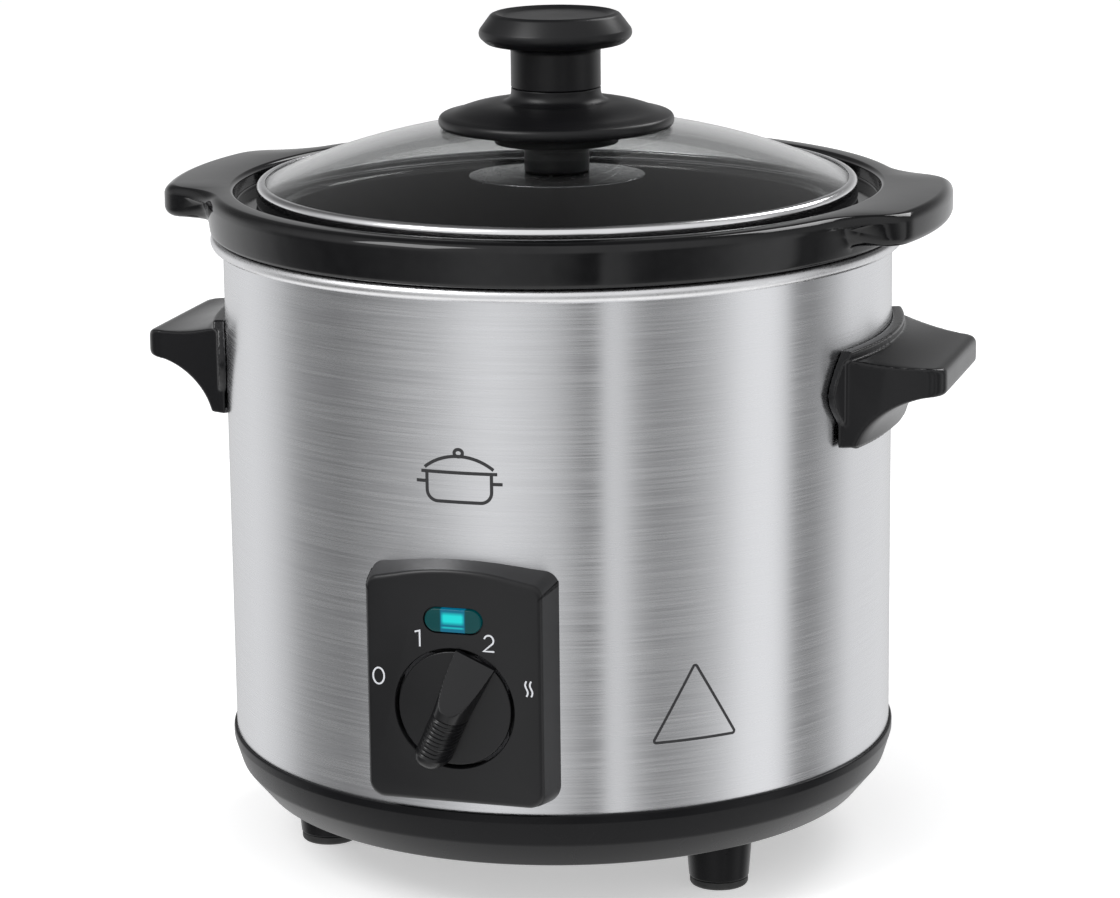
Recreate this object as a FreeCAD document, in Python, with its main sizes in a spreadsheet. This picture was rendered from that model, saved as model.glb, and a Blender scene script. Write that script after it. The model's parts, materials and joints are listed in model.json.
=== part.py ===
import FreeCAD, Part
import math
import os
import Sketcher

# Round two-litre slow cooker: steel housing, lift-out stoneware crock, glass lid.
# Frame: +Z up, -Y to the control panel, origin on the axis at the surface it stands on.

DRIVING_SIZES = [
    # steel housing
    ("shell_radius", 95.0),
    ("body_height", 142.7),
    ("shell_wall", 0.7),
    ("shell_tuck", 1.6),
    ("seam_width", 7.0),
    ("seam_height", 0.5),
    ("bead_overhang", 1.7),
    ("bead_roll", 1.8),
    ("sheet", 0.6),
    ("fit_gap", 0.2),
    ("running_gap", 0.05),
    # liner and heater
    ("liner_space", 13.5),
    ("liner_lift", 33.2),
    ("liner_corner", 12.0),
    ("band_lift", 14.0),
    ("band_height", 44.0),
    ("band_thickness", 2.2),
    ("strap_width", 8.0),
    ("strap_thickness", 0.6),
    ("strap_ear", 6.0),
    ("strap_split", 8.0),
    # crock
    ("crock_gap", 2.6),
    ("well_gap", 3.0),
    ("well_taper", 2.5),
    ("well_corner", 13.0),
    ("crock_wall", 5.0),
    ("crock_floor", 6.0),
    ("foot_ring_inset", 18.0),
    ("skirt_overhang", 3.4),
    ("rim_overhang", 4.4),
    ("rim_height", 12.4),
    ("rim_width", 8.0),
    ("rim_round", 3.0),
    ("lip_round", 1.5),
    ("lug_projection", 12.6),
    ("lug_thickness", 8.5),
    ("lug_corner", 12.0),
    ("lug_blend", 26.0),
    ("lug_angle", 14.0),
    ("lug_overlap", 4.9),
    # lid
    ("lid_play", 6.2),
    ("bezel_proud", 1.5),
    ("bezel_lip", 2.5),
    ("bezel_sheet", 0.5),
    ("glass_edge", 0.8),
    ("glass_sphere", 205.0),
    ("glass_thickness", 4.0),
    ("screw_radius", 2.0),
    ("screw_head", 4.2),
    ("screw_head_height", 2.2),
    ("seal_radius", 17.5),
    ("seal_thickness", 4.2),
    ("boss_radius", 9.2),
    ("boss_height", 7.4),
    ("disc_radius", 24.8),
    ("disc_thickness", 0.8),
    # knob, in heights above the top of the glass
    ("flange_radius", 33.4),
    ("flange_edge", 2.6),
    ("flange_rise", 4.4),
    ("neck_radius", 12.7),
    ("neck_fillet", 3.0),
    ("seam_rise", 8.6),
    ("cap_under_rise", 19.4),
    ("cap_widest_rise", 23.8),
    ("cap_top_rise", 29.6),
    ("cap_radius", 21.8),
    ("cap_edge", 17.8),
    ("cap_dish", 0.8),
    ("cap_thread_depth", 9.0),
    # plastic base and feet
    ("base_bottom", 16.8),
    ("base_height", 17.4),
    ("base_overhang", 0.9),
    ("base_band_inset", 1.2),
    ("base_taper", 6.8),
    ("base_taper_height", 8.2),
    ("base_wall", 2.4),
    ("ledge_width", 3.0),
    ("vent_length", 26.0),
    ("vent_width", 3.0),
    ("vent_pitch", 8.0),
    ("foot_inset", 18.0),
    ("foot_turn", -4.5),
    ("foot_top_radius", 9.6),
    ("foot_tip_radius", 8.4),
    ("pad_height", 2.4),
    ("pad_radius", 8.2),
    ("pad_round", 1.0),
    ("pad_recess", 1.2),
    ("foot_screw_radius", 1.75),
    # side handles
    ("handle_projection", 22.0),
    ("handle_half_width", 30.0),
    ("handle_drop", 26.3),
    ("handle_lip_rise", 2.4),
    ("handle_depth", 26.0),
    ("handle_waist_drop", 8.6),
    ("handle_waist_half", 38.0),
    ("handle_foot_half", 27.0),
    ("handle_lip_half", 32.0),
    ("handle_droop", 3.2),
    ("handle_tip_thickness", 6.5),
    ("handle_base_depth", 4.2),
    ("handle_screw_spread", 40.0),
    ("handle_screw_drop", 13.6),
    ("handle_plate_thickness", 1.5),
    ("handle_plate_height", 14.0),
    ("handle_plate_margin", 8.0),
    # control panel, in heights above its lower edge
    ("panel_projection", 7.0),
    ("panel_width", 49.4),
    ("panel_lift", 4.6),
    ("panel_height", 60.4),
    ("panel_arch", 74.0),
    ("panel_corner", 4.5),
    ("panel_draft", 15.0),
    ("panel_run_in", 3.0),
    ("panel_wall", 2.2),
    ("panel_screw_inset", 5.6),
    ("panel_screw_drop", 1.6),
    ("panel_boss", 3.0),
    ("window_half", 17.0),
    ("window_rise", 10.8),
    # dial and switch
    ("dial_rise", 26.5),
    ("dial_radius", 15.75),
    ("dial_gap", 0.9),
    ("dial_recess_depth", 1.2),
    ("dial_proud", 0.7),
    ("dial_bar_width", 8.4),
    ("dial_bar_height", 10.5),
    ("dial_hub_radius", 5.0),
    ("dial_rest_angle", 24.0),
    ("spindle_radius", 3.0),
    ("spindle_grip", 6.0),
    ("spindle_flat", 1.0),
    ("switch_width", 29.0),
    ("switch_depth", 12.0),
    ("switch_bore", 8.0),
    ("tab_pitch", 8.0),
    ("tab_width", 3.6),
    # indicator
    ("lens_rise", 50.9),
    ("lens_width", 16.2),
    ("lens_tall", 6.8),
    ("lens_proud", 0.5),
    ("lens_flange", 1.2),
    ("lamp_radius", 2.2),
    ("lamp_length", 11.0),
    # inside the base
    ("stud_radius", 2.5),
    ("stud_foot_radius", 12.0),
    ("stud_foot_height", 1.5),
    ("washer_radius", 8.0),
    ("washer_thickness", 1.2),
    ("nut_radius", 4.6),
    ("nut_height", 4.0),
    ("fuse_radius", 2.2),
    ("fuse_length", 16.0),
    ("fuse_place", 34.0),
    ("block_length", 22.0),
    ("block_depth", 14.0),
    ("block_height", 12.0),
    ("block_place", 45.0),
    # rear cord gland
    ("gland_lift", 9.8),
    ("gland_bore", 3.6),
    ("gland_body", 6.4),
    ("gland_flange", 9.0),
    ("gland_flange_depth", 2.6),
    ("gland_inside", 7.0),
    # inner leads
    ("lead_radius", 1.1),
    ("lead_gap", 0.3),
]

DOC = FreeCAD.newDocument("slow_cooker")
NODES = []
X_AXIS = FreeCAD.Vector(1, 0, 0)
Y_AXIS = FreeCAD.Vector(0, 1, 0)
Z_AXIS = FreeCAD.Vector(0, 0, 1)
FRONT = FreeCAD.Vector(0, -1, 0)
ORIGIN = FreeCAD.Vector(0, 0, 0)
UPRIGHT = FreeCAD.Rotation(Z_AXIS, 0)
TO_FRONT = FreeCAD.Rotation(X_AXIS, 90)
TO_REAR = FreeCAD.Rotation(X_AXIS, -90)
TO_RIGHT = FreeCAD.Rotation(Y_AXIS, 90)
TO_LEFT = FreeCAD.Rotation(Y_AXIS, -90)
FULL_TURN = 360


class Size:
    """A number together with the sheet expression that gives it."""

    def __init__(self, number, text):
        self.number = number
        self.text = text

    def __add__(self, other):
        other = as_size(other)
        return Size(self.number + other.number, "(%s + %s)" % (self.text, other.text))

    def __sub__(self, other):
        other = as_size(other)
        return Size(self.number - other.number, "(%s - %s)" % (self.text, other.text))

    def __mul__(self, other):
        other = as_size(other)
        return Size(self.number * other.number, "(%s * %s)" % (self.text, other.text))

    def __truediv__(self, other):
        other = as_size(other)
        return Size(self.number / other.number, "(%s / %s)" % (self.text, other.text))

    def __neg__(self):
        return Size(-self.number, "(0 - %s)" % self.text)


class Sheet:
    """The driving sizes, each one a named Size."""

    def __init__(self, rows):
        table = DOC.addObject("Spreadsheet::Sheet", "Sizes")
        for row, (name, number) in enumerate(rows, start=1):
            table.set("A%d" % row, name)
            table.set("B%d" % row, str(number))
            table.setAlias("B%d" % row, name)
            setattr(self, name, Size(number, "Sizes." + name))
        DOC.recompute()


def as_size(value):
    if isinstance(value, Size):
        return value
    return Size(float(value), repr(float(value)))


def root(size):
    return Size(math.sqrt(size.number), "sqrt(%s)" % size.text)


def degrees(size):
    return Size(size.number, "(%s * 1 deg)" % size.text)


def cosine(angle):
    return Size(math.cos(math.radians(angle.number)), "cos(%s)" % angle.text)


def sine(angle):
    return Size(math.sin(math.radians(angle.number)), "sin(%s)" % angle.text)


def angle_of_cosine(ratio):
    return Size(math.degrees(math.acos(ratio.number)), "acos(%s)" % ratio.text)


def leg(long_side, short_side):
    """The other short side of a right triangle."""
    return root(long_side * long_side - short_side * short_side)


S = Sheet(DRIVING_SIZES)


# ---- document helpers --------------------------------------------------------------

def bind(thing, path, size):
    thing.setExpression(path, as_size(size).text)


def place(thing, x=0, y=0, z=0, rotation=UPRIGHT):
    thing.Placement = FreeCAD.Placement(ORIGIN, rotation)
    bind(thing, "Placement.Base.x", x)
    bind(thing, "Placement.Base.y", y)
    bind(thing, "Placement.Base.z", z)
    return thing


def node(thing, label):
    """Keep a finished sub-part under the name that its file takes."""
    thing.Label = label
    NODES.append(thing)
    return thing


def new_body(name):
    return DOC.addObject("PartDesign::Body", name)


def pin_coordinate(sketch, kind, edge, vertex, size):
    """Tie one coordinate of a sketch point to the sheet, measured from the origin."""
    horizontal = kind == "DistanceX"
    if abs(size.number) < 1e-9:
        axis = -2 if horizontal else -1
        sketch.addConstraint(Sketcher.Constraint("PointOnObject", edge, vertex, axis))
        return
    if size.number > 0:
        row = Sketcher.Constraint(kind, -1, 1, edge, vertex, size.number)
        text = size.text
    else:
        row = Sketcher.Constraint(kind, edge, vertex, -1, 1, -size.number)
        text = (-size).text
    index = sketch.addConstraint(row)
    sketch.setExpression("Constraints[%d]" % index, text)


def arc_between(start, end, radius):
    """The short arc from start to end; it turns left where radius is positive."""
    chord = end - start
    middle = start + chord * 0.5
    half = chord.Length * 0.5
    rise = math.sqrt(max(radius * radius - half * half, 0.0))
    side = FreeCAD.Vector(-chord.y, chord.x, 0).normalize()
    centre = middle + side * math.copysign(rise, radius)
    first = math.atan2(start.y - centre.y, start.x - centre.x)
    last = math.atan2(end.y - centre.y, end.x - centre.x)
    circle = Part.Circle(centre, Z_AXIS, abs(radius))
    if radius > 0:
        return Part.ArcOfCircle(circle, first, last)
    return Part.ArcOfCircle(circle, last, first)


def draw(sketch, outline):
    """Draw a closed outline of corners (x, y) or (x, y, radius of the edge that arrives)."""
    corners = [[as_size(value) for value in corner] for corner in outline]
    points = [FreeCAD.Vector(corner[0].number, corner[1].number, 0) for corner in corners]
    heads = []
    tails = []
    edges = []
    for index, corner in enumerate(corners):
        start = points[index - 1]
        end = points[index]
        turns_right = len(corner) == 3 and corner[2].number < 0
        if len(corner) == 3:
            edge = sketch.addGeometry(arc_between(start, end, corner[2].number), False)
        else:
            edge = sketch.addGeometry(Part.LineSegment(start, end), False)
        edges.append(edge)
        heads.append((edge, 2 if turns_right else 1))
        tails.append((edge, 1 if turns_right else 2))
    for index, corner in enumerate(corners):
        edge, vertex = tails[index]
        after, head = heads[(index + 1) % len(corners)]
        sketch.addConstraint(Sketcher.Constraint("Coincident", edge, vertex, after, head))
        pin_coordinate(sketch, "DistanceX", edge, vertex, corner[0])
        pin_coordinate(sketch, "DistanceY", edge, vertex, corner[1])
        if len(corner) == 3:
            radius = corner[2] if corner[2].number > 0 else -corner[2]
            row = Sketcher.Constraint("Radius", edge, radius.number)
            sketch.setExpression("Constraints[%d]" % sketch.addConstraint(row), radius.text)


def sketch_on(body, plane, outlines, offset=None):
    """A sketch on one of the body's own origin planes, moved out along its normal."""
    sketch = body.newObject("Sketcher::SketchObject", body.Name + "_sketch")
    support = [item for item in body.Origin.OriginFeatures if item.Role == plane][0]
    sketch.AttachmentSupport = [(support, "")]
    sketch.MapMode = "FlatFace"
    if offset is not None:
        bind(sketch, "AttachmentOffset.Base.z", offset)
    for outline in outlines:
        draw(sketch, outline)
    return sketch


def turned(name, *outlines):
    """A body turned about its own upright axis from outlines of (radius, height)."""
    body = new_body(name)
    sketch = sketch_on(body, "XZ_Plane", outlines)
    turn = body.newObject("PartDesign::Revolution", name + "_turn")
    turn.Profile = sketch
    turn.ReferenceAxis = (sketch, ["V_Axis"])
    turn.Angle = FULL_TURN
    return body


def padded(name, plane, outlines, depth, offset=None, midplane=False, backwards=False, taper=None):
    """A body raised from outlines on an origin plane."""
    body = new_body(name)
    sketch = sketch_on(body, plane, outlines, offset)
    pad = body.newObject("PartDesign::Pad", name + "_pad")
    pad.Profile = sketch
    pad.Midplane = midplane
    pad.Reversed = backwards
    bind(pad, "Length", depth)
    if taper is not None:
        bind(pad, "TaperAngle", taper)
    return body


def cylinder(name, radius, length, x=0, y=0, z=0, rotation=UPRIGHT):
    rod = DOC.addObject("Part::Cylinder", name)
    bind(rod, "Radius", radius)
    bind(rod, "Height", length)
    return place(rod, x, y, z, rotation)


def cone(name, low_radius, high_radius, length, x=0, y=0, z=0, rotation=UPRIGHT):
    plug = DOC.addObject("Part::Cone", name)
    bind(plug, "Radius1", low_radius)
    bind(plug, "Radius2", high_radius)
    bind(plug, "Height", length)
    return place(plug, x, y, z, rotation)


def block(name, length, width, height, x=0, y=0, z=0):
    brick = DOC.addObject("Part::Box", name)
    bind(brick, "Length", length)
    bind(brick, "Width", width)
    bind(brick, "Height", height)
    return place(brick, x, y, z)


def fused(name, pieces):
    joined = DOC.addObject("Part::MultiFuse", name)
    joined.Shapes = pieces
    return joined


def common(name, pieces):
    shared = DOC.addObject("Part::MultiCommon", name)
    shared.Shapes = pieces
    return shared


def cut(name, base, tools):
    result = DOC.addObject("Part::Cut", name)
    result.Base = base
    result.Tool = tools[0] if len(tools) == 1 else fused(name + "_tools", tools)
    return result


def rectangle(left, right, low, high):
    return [(left, low), (right, low), (right, high), (left, high)]


def stadium(half_width, half_height, x, z):
    """A flat pill of two straight edges and two round ends, each end two quarter arcs."""
    straight = half_width - half_height
    return [
        (x - straight, z - half_height, half_height),
        (x + straight, z - half_height),
        (x + half_width, z, half_height),
        (x + straight, z + half_height, half_height),
        (x - straight, z + half_height),
        (x - half_width, z, half_height),
    ]


def dome(radius, height_of_apex, reach):
    """Height of a spherical cap at a distance from the axis."""
    return height_of_apex - radius + leg(radius, reach)


# ---- radii that follow the shell --------------------------------------------------------

SHELL_INNER = S.shell_radius - S.shell_wall
BEAD_RING = S.shell_radius + S.bead_overhang
LINER_RADIUS = S.shell_radius - S.liner_space
BAND_RADIUS = LINER_RADIUS + S.band_thickness
STRAP_RADIUS = BAND_RADIUS + S.strap_thickness
WELL_TOP = LINER_RADIUS - S.well_gap
WELL_BOTTOM = WELL_TOP - S.well_taper
SKIRT_RADIUS = S.shell_radius + S.skirt_overhang
RIM_RADIUS = S.shell_radius + S.rim_overhang
RECESS_RADIUS = RIM_RADIUS - S.rim_width
LUG_REACH = RIM_RADIUS + S.lug_projection
BEZEL_RADIUS = RECESS_RADIUS - S.lid_play
BEZEL_INNER = BEZEL_RADIUS - S.bezel_lip
GLASS_RADIUS = BEZEL_RADIUS - S.glass_edge
BASE_RADIUS = S.shell_radius + S.base_overhang
BASE_BAND = S.shell_radius - S.base_band_inset
BASE_FLOOR_RADIUS = BASE_BAND - S.base_taper
FOOT_CIRCLE = BASE_FLOOR_RADIUS - S.foot_inset
HANDLE_REACH = S.shell_radius + S.handle_projection
HANDLE_SEAT = S.shell_radius + S.fit_gap / 2
HANDLE_PAD = S.shell_radius + S.handle_base_depth
HANDLE_ROOT = S.shell_radius * 0.8
PANEL_FACE = S.shell_radius + S.panel_projection
PANEL_BACK = PANEL_FACE - S.panel_wall
SCREW_HOLE = S.screw_radius + S.fit_gap
CLOSE_GAP = S.fit_gap / 4

# ---- heights from the floor up ------------------------------------------------------------

BASE_FLOOR = S.base_bottom + S.base_wall
BASE_TAPER_TOP = S.base_bottom + S.base_taper_height
BASE_TOP = S.base_bottom + S.base_height
SHELL_BOTTOM = BASE_TOP - S.shell_tuck
LINER_BOTTOM = S.base_bottom + S.liner_lift
BAND_BOTTOM = LINER_BOTTOM + S.band_lift
BEAD_HEIGHT = BASE_TOP + S.body_height
FLANGE_TOP = BEAD_HEIGHT + S.bead_roll
FLANGE_UNDER = FLANGE_TOP - S.sheet
SHELL_TOP = FLANGE_UNDER - S.fit_gap
GLAND_HEIGHT = BASE_TOP + S.gland_lift
PANEL_BOTTOM = BASE_TOP + S.panel_lift
PANEL_SHOULDER = PANEL_BOTTOM + S.panel_height
PANEL_SCREWS = (PANEL_BOTTOM + S.panel_screw_inset, PANEL_SHOULDER - S.panel_screw_drop)
DIAL_HEIGHT = PANEL_BOTTOM + S.dial_rise
LENS_HEIGHT = PANEL_BOTTOM + S.lens_rise
WINDOW_BOTTOM = PANEL_BOTTOM + S.window_rise
WINDOW_TOP = LENS_HEIGHT + S.lens_tall / 2
HANDLE_TOP = BEAD_HEIGHT - S.handle_drop
HANDLE_LIP = HANDLE_TOP + S.handle_lip_rise
HANDLE_BOTTOM = HANDLE_TOP - S.handle_depth
HANDLE_WAIST = HANDLE_TOP - S.handle_waist_drop
HANDLE_SCREWS = HANDLE_TOP - S.handle_screw_drop
CROCK_SEAT = FLANGE_TOP + S.fit_gap
CROCK_BOTTOM = LINER_BOTTOM + S.sheet + S.crock_gap
RIM_TOP = CROCK_SEAT + S.rim_height
BEZEL_TOP = RIM_TOP + S.bezel_proud
GLASS_INNER_SPHERE = S.glass_sphere - S.glass_thickness
GLASS_APEX = BEZEL_TOP - S.bezel_sheet - CLOSE_GAP + S.glass_sphere - leg(S.glass_sphere, BEZEL_INNER)
UNDER_APEX = GLASS_APEX - S.glass_thickness
BEZEL_BOTTOM = dome(GLASS_INNER_SPHERE, UNDER_APEX, GLASS_RADIUS) - CLOSE_GAP - S.bezel_sheet
LID_LEDGE = BEZEL_BOTTOM - S.fit_gap
KNOB_SEAM = GLASS_APEX + S.seam_rise
CAP_UNDERSIDE = GLASS_APEX + S.cap_under_rise
CAP_WIDEST = GLASS_APEX + S.cap_widest_rise
KNOB_TOP = GLASS_APEX + S.cap_top_rise
SEAL_TOP = dome(GLASS_INNER_SPHERE, UNDER_APEX, S.seal_radius) - CLOSE_GAP
SEAL_BOTTOM = SEAL_TOP - S.seal_thickness
BOSS_BOTTOM = SEAL_BOTTOM - S.boss_height
DISC_BOTTOM = BOSS_BOTTOM - S.disc_thickness


# ---- housing --------------------------------------------------------------------------

def handle_screw_holes(name, radius):
    """Rods along X where the two handles are screwed through the shell."""
    length = HANDLE_REACH * 2
    half = S.handle_screw_spread / 2
    rods = []
    for index, side in enumerate((half, -half)):
        rod_name = "%s_%d" % (name, index)
        rods.append(cylinder(rod_name, radius, length, -HANDLE_REACH, side,
                             HANDLE_SCREWS, TO_RIGHT))
    return rods


def make_outer_shell():
    tube = turned("shell_tube", rectangle(SHELL_INNER, S.shell_radius, SHELL_BOTTOM, SHELL_TOP))
    seam_top = BEAD_HEIGHT - S.bead_roll - S.fit_gap * 2
    seam_low = BASE_TOP + S.fit_gap * 2
    seam = block("shell_seam", S.seam_width, S.shell_wall + S.seam_height, seam_top - seam_low,
                 -S.seam_width / 2, SHELL_INNER, seam_low)
    wrap = fused("shell_wrap", [tube, seam])
    window = block("shell_window", S.window_half * 2, S.shell_radius / 2,
                   WINDOW_TOP - WINDOW_BOTTOM,
                   -S.window_half, -PANEL_FACE, WINDOW_BOTTOM)
    holes = handle_screw_holes("shell_handle_hole", SCREW_HOLE)
    for index, height in enumerate(PANEL_SCREWS):
        holes.append(cylinder("shell_panel_hole_%d" % index, S.foot_screw_radius + S.fit_gap,
                              PANEL_FACE, 0, 0, height, TO_FRONT))
    gland = cylinder("shell_gland_hole", S.gland_body + CLOSE_GAP, PANEL_FACE,
                     0, 0, GLAND_HEIGHT, TO_REAR)
    notch = cylinder("shell_seam_notch", S.gland_flange + S.fit_gap, S.shell_radius,
                     0, S.shell_radius, GLAND_HEIGHT, TO_REAR)
    node(cut("shell_cut", wrap, [window, gland, notch] + holes), "outer_shell")


def make_liner():
    """Drawn steel pan whose flange rolls over the top of the shell."""
    inner_roll = S.bead_roll - S.sheet
    pan = LINER_RADIUS - S.sheet
    corner = S.liner_corner
    hem = S.shell_radius + S.fit_gap
    outline = [
        (0, LINER_BOTTOM),
        (LINER_RADIUS - corner, LINER_BOTTOM),
        (LINER_RADIUS, LINER_BOTTOM + corner, corner),
        (LINER_RADIUS, FLANGE_UNDER),
        (BEAD_RING, FLANGE_UNDER),
        (BEAD_RING + inner_roll, BEAD_HEIGHT, -inner_roll),
        (BEAD_RING, BEAD_HEIGHT - inner_roll, -inner_roll),
        (hem, BEAD_HEIGHT - inner_roll),
        (hem, BEAD_HEIGHT - S.bead_roll),
        (BEAD_RING, BEAD_HEIGHT - S.bead_roll),
        (BEAD_RING + S.bead_roll, BEAD_HEIGHT, S.bead_roll),
        (BEAD_RING, FLANGE_TOP, S.bead_roll),
        (pan, FLANGE_TOP),
        (pan, LINER_BOTTOM + corner),
        (LINER_RADIUS - corner, LINER_BOTTOM + S.sheet, S.sheet - corner),
        (0, LINER_BOTTOM + S.sheet),
    ]
    node(turned("liner_pan", outline), "heating_liner")


def make_heater():
    band_top = BAND_BOTTOM + S.band_height
    inner = LINER_RADIUS + CLOSE_GAP
    ring = turned("band_ring", rectangle(inner, BAND_RADIUS, BAND_BOTTOM, band_top))
    split = block("band_split", S.strap_split, S.shell_radius, band_top,
                  -S.strap_split / 2, 0, 0)
    node(cut("band_cut", ring, [split]), "heater_band")
    strap_low = BAND_BOTTOM + S.band_height / 2 - S.strap_width / 2
    strap_top = strap_low + S.strap_width
    inner = BAND_RADIUS + CLOSE_GAP
    loop = turned("strap_ring", rectangle(inner, STRAP_RADIUS, strap_low, strap_top))
    gap = block("strap_split_cut", S.strap_split, S.shell_radius, strap_top,
                -S.strap_split / 2, 0, 0)
    open_loop = cut("strap_open", loop, [gap])
    ear_root = BAND_RADIUS + S.strap_thickness / 4
    ears = []
    for index, side in enumerate((S.strap_split / 2, -S.strap_split / 2 - S.strap_thickness)):
        ears.append(block("strap_ear_%d" % index, S.strap_thickness, S.strap_ear,
                          S.strap_width, side, ear_root, strap_low))
    strap = fused("strap_whole", [open_loop] + ears)
    screw_y = ear_root + S.strap_ear / 2
    screw_z = strap_low + S.strap_width / 2
    shank = S.screw_radius * 0.75
    length = S.strap_split + S.strap_thickness * 2 + S.screw_head_height
    hole = cylinder("strap_screw_hole", shank + CLOSE_GAP, length,
                    -length / 2, screw_y, screw_z, TO_RIGHT)
    node(cut("strap_cut", strap, [hole]), "band_clamp")
    side = S.strap_split / 2 + S.strap_thickness
    rod = cylinder("clamp_rod", shank, side * 2 + S.screw_head_height,
                   -side - S.screw_head_height / 2, screw_y, screw_z, TO_RIGHT)
    head = cylinder("clamp_head", shank * 1.7, S.screw_head_height,
                    side + CLOSE_GAP, screw_y, screw_z, TO_RIGHT)
    node(fused("clamp_screw_solid", [rod, head]), "clamp_screw")


def make_base():
    """Plastic plinth: outer band, tapered side and vented floor in one moulding."""
    wall = S.base_wall
    seat_inner = SHELL_INNER - S.ledge_width
    seat = SHELL_BOTTOM - CLOSE_GAP
    lip = S.shell_radius + CLOSE_GAP
    outline = [
        (0, S.base_bottom),
        (BASE_FLOOR_RADIUS, S.base_bottom),
        (BASE_BAND, BASE_TAPER_TOP),
        (BASE_RADIUS, BASE_TOP - wall),
        (BASE_RADIUS, BASE_TOP),
        (lip, BASE_TOP),
        (lip, seat),
        (seat_inner, seat),
        (seat_inner, seat - wall),
        (BASE_BAND - wall, seat - wall * 2),
        (BASE_BAND - wall, BASE_TAPER_TOP + wall / 2),
        (BASE_FLOOR_RADIUS - wall, BASE_FLOOR),
        (0, BASE_FLOOR),
    ]
    tub = turned("base_tub", outline)
    tools = [cylinder("base_stud_hole", S.stud_radius + S.fit_gap, BASE_FLOOR, 0, 0, 0)]
    for index in range(5):
        side = S.vent_pitch * (index - 2)
        tools.append(block("base_vent_%d" % index, S.vent_length, S.vent_width, BASE_FLOOR,
                           -S.vent_length / 2, side - S.vent_pitch * 4, 0))
    for index, angle in enumerate(foot_angles()):
        x, y = foot_place(angle)
        tools.append(cylinder("base_foot_hole_%d" % index, S.foot_screw_radius + S.fit_gap,
                              BASE_FLOOR, x, y, 0))
    node(cut("base_cut", tub, tools), "base_pan")


def foot_angles():
    """Angles of the feet from the front, seen from above: two in front and one behind."""
    return [S.foot_turn + 60, S.foot_turn - 60, S.foot_turn + 180]


def foot_place(angle):
    turn = degrees(angle)
    return FOOT_CIRCLE * sine(turn), -(FOOT_CIRCLE * cosine(turn))


def make_feet():
    places = ("front_right", "front_left", "rear")
    top = S.base_bottom - CLOSE_GAP
    screws = []
    for side, angle in zip(places, foot_angles()):
        x, y = foot_place(angle)
        blank = cone("foot_cone_" + side, S.foot_tip_radius, S.foot_top_radius,
                     top - S.pad_height, x, y, S.pad_height)
        recess = cylinder("foot_recess_" + side, S.pad_radius - S.pad_recess + CLOSE_GAP,
                          S.pad_recess, x, y, S.pad_height)
        bore = cylinder("foot_bore_" + side, S.foot_screw_radius, S.base_bottom, x, y, S.pad_height)
        node(cut("foot_solid_" + side, blank, [recess, bore]), "foot_" + side)
        flat = S.pad_height - CLOSE_GAP
        outline = [
            (0, 0),
            (S.pad_radius - S.pad_round, 0),
            (S.pad_radius, S.pad_round, S.pad_round),
            (S.pad_radius, flat),
            (S.pad_radius - S.pad_recess, flat),
            (S.pad_radius - S.pad_recess, flat + S.pad_recess),
            (0, flat + S.pad_recess),
        ]
        node(place(turned("pad_turned_" + side, outline), x, y, 0), "foot_pad_" + side)
        screw_low = S.pad_height + S.pad_recess + S.fit_gap
        screw_top = BASE_FLOOR + S.screw_head_height
        shank = cylinder("foot_shank_" + side, S.foot_screw_radius - CLOSE_GAP,
                         screw_top - screw_low, x, y, screw_low)
        head = cylinder("foot_head_" + side, S.foot_screw_radius * 2, S.screw_head_height,
                        x, y, BASE_FLOOR + CLOSE_GAP)
        screws.append(fused("foot_screw_" + side, [shank, head]))
    grouped("foot_screws_group", screws, "foot_screws")


def grouped(name, pieces, label):
    """Identical fasteners kept as one sub-part of separate solids."""
    group = DOC.addObject("Part::Compound", name)
    group.Links = pieces
    return node(group, label)


# ---- side handles ---------------------------------------------------------------------

def handle_side_outline():
    """Half section through a handle, turned about the body: pad, cove and drooping grip."""
    inner = HANDLE_ROOT
    pad_face = HANDLE_PAD
    tip_top = HANDLE_TOP - S.handle_droop
    tip_low = tip_top - S.handle_tip_thickness
    cove = HANDLE_REACH - pad_face
    return [
        (inner, HANDLE_BOTTOM),
        (pad_face, HANDLE_BOTTOM),
        (HANDLE_REACH - S.handle_droop, tip_low, -cove),
        (HANDLE_REACH, tip_low + S.handle_droop, S.handle_droop),
        (HANDLE_REACH, tip_top - S.handle_droop / 2),
        (HANDLE_REACH - S.handle_droop / 2, tip_top, S.handle_droop / 2),
        (pad_face, HANDLE_TOP),
        (S.shell_radius + S.handle_base_depth / 2, HANDLE_LIP),
        (inner, HANDLE_LIP),
    ]


def handle_plan_outline():
    """Outline from above: straight flanks and a tip concentric with the shell."""
    half = S.handle_half_width
    root_x = HANDLE_ROOT
    waist_x = HANDLE_PAD
    tip_half = half - S.handle_droop
    tip_x = leg(HANDLE_REACH, tip_half)
    return [
        (root_x, -S.handle_waist_half),
        (leg(S.shell_radius, S.handle_waist_half), -S.handle_waist_half),
        (waist_x, -half),
        (tip_x - S.handle_droop, -half),
        (tip_x, -tip_half, S.handle_droop),
        (tip_x, tip_half, HANDLE_REACH),
        (tip_x - S.handle_droop, half, S.handle_droop),
        (waist_x, half),
        (leg(S.shell_radius, S.handle_waist_half), S.handle_waist_half),
        (root_x, S.handle_waist_half),
    ]


def handle_front_outline():
    """Outline seen straight on: a shield that is widest at its waist."""
    return [
        (-S.handle_foot_half, HANDLE_BOTTOM),
        (S.handle_foot_half, HANDLE_BOTTOM),
        (S.handle_waist_half, HANDLE_WAIST),
        (S.handle_lip_half, HANDLE_LIP),
        (-S.handle_lip_half, HANDLE_LIP),
        (-S.handle_waist_half, HANDLE_WAIST),
    ]


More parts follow.
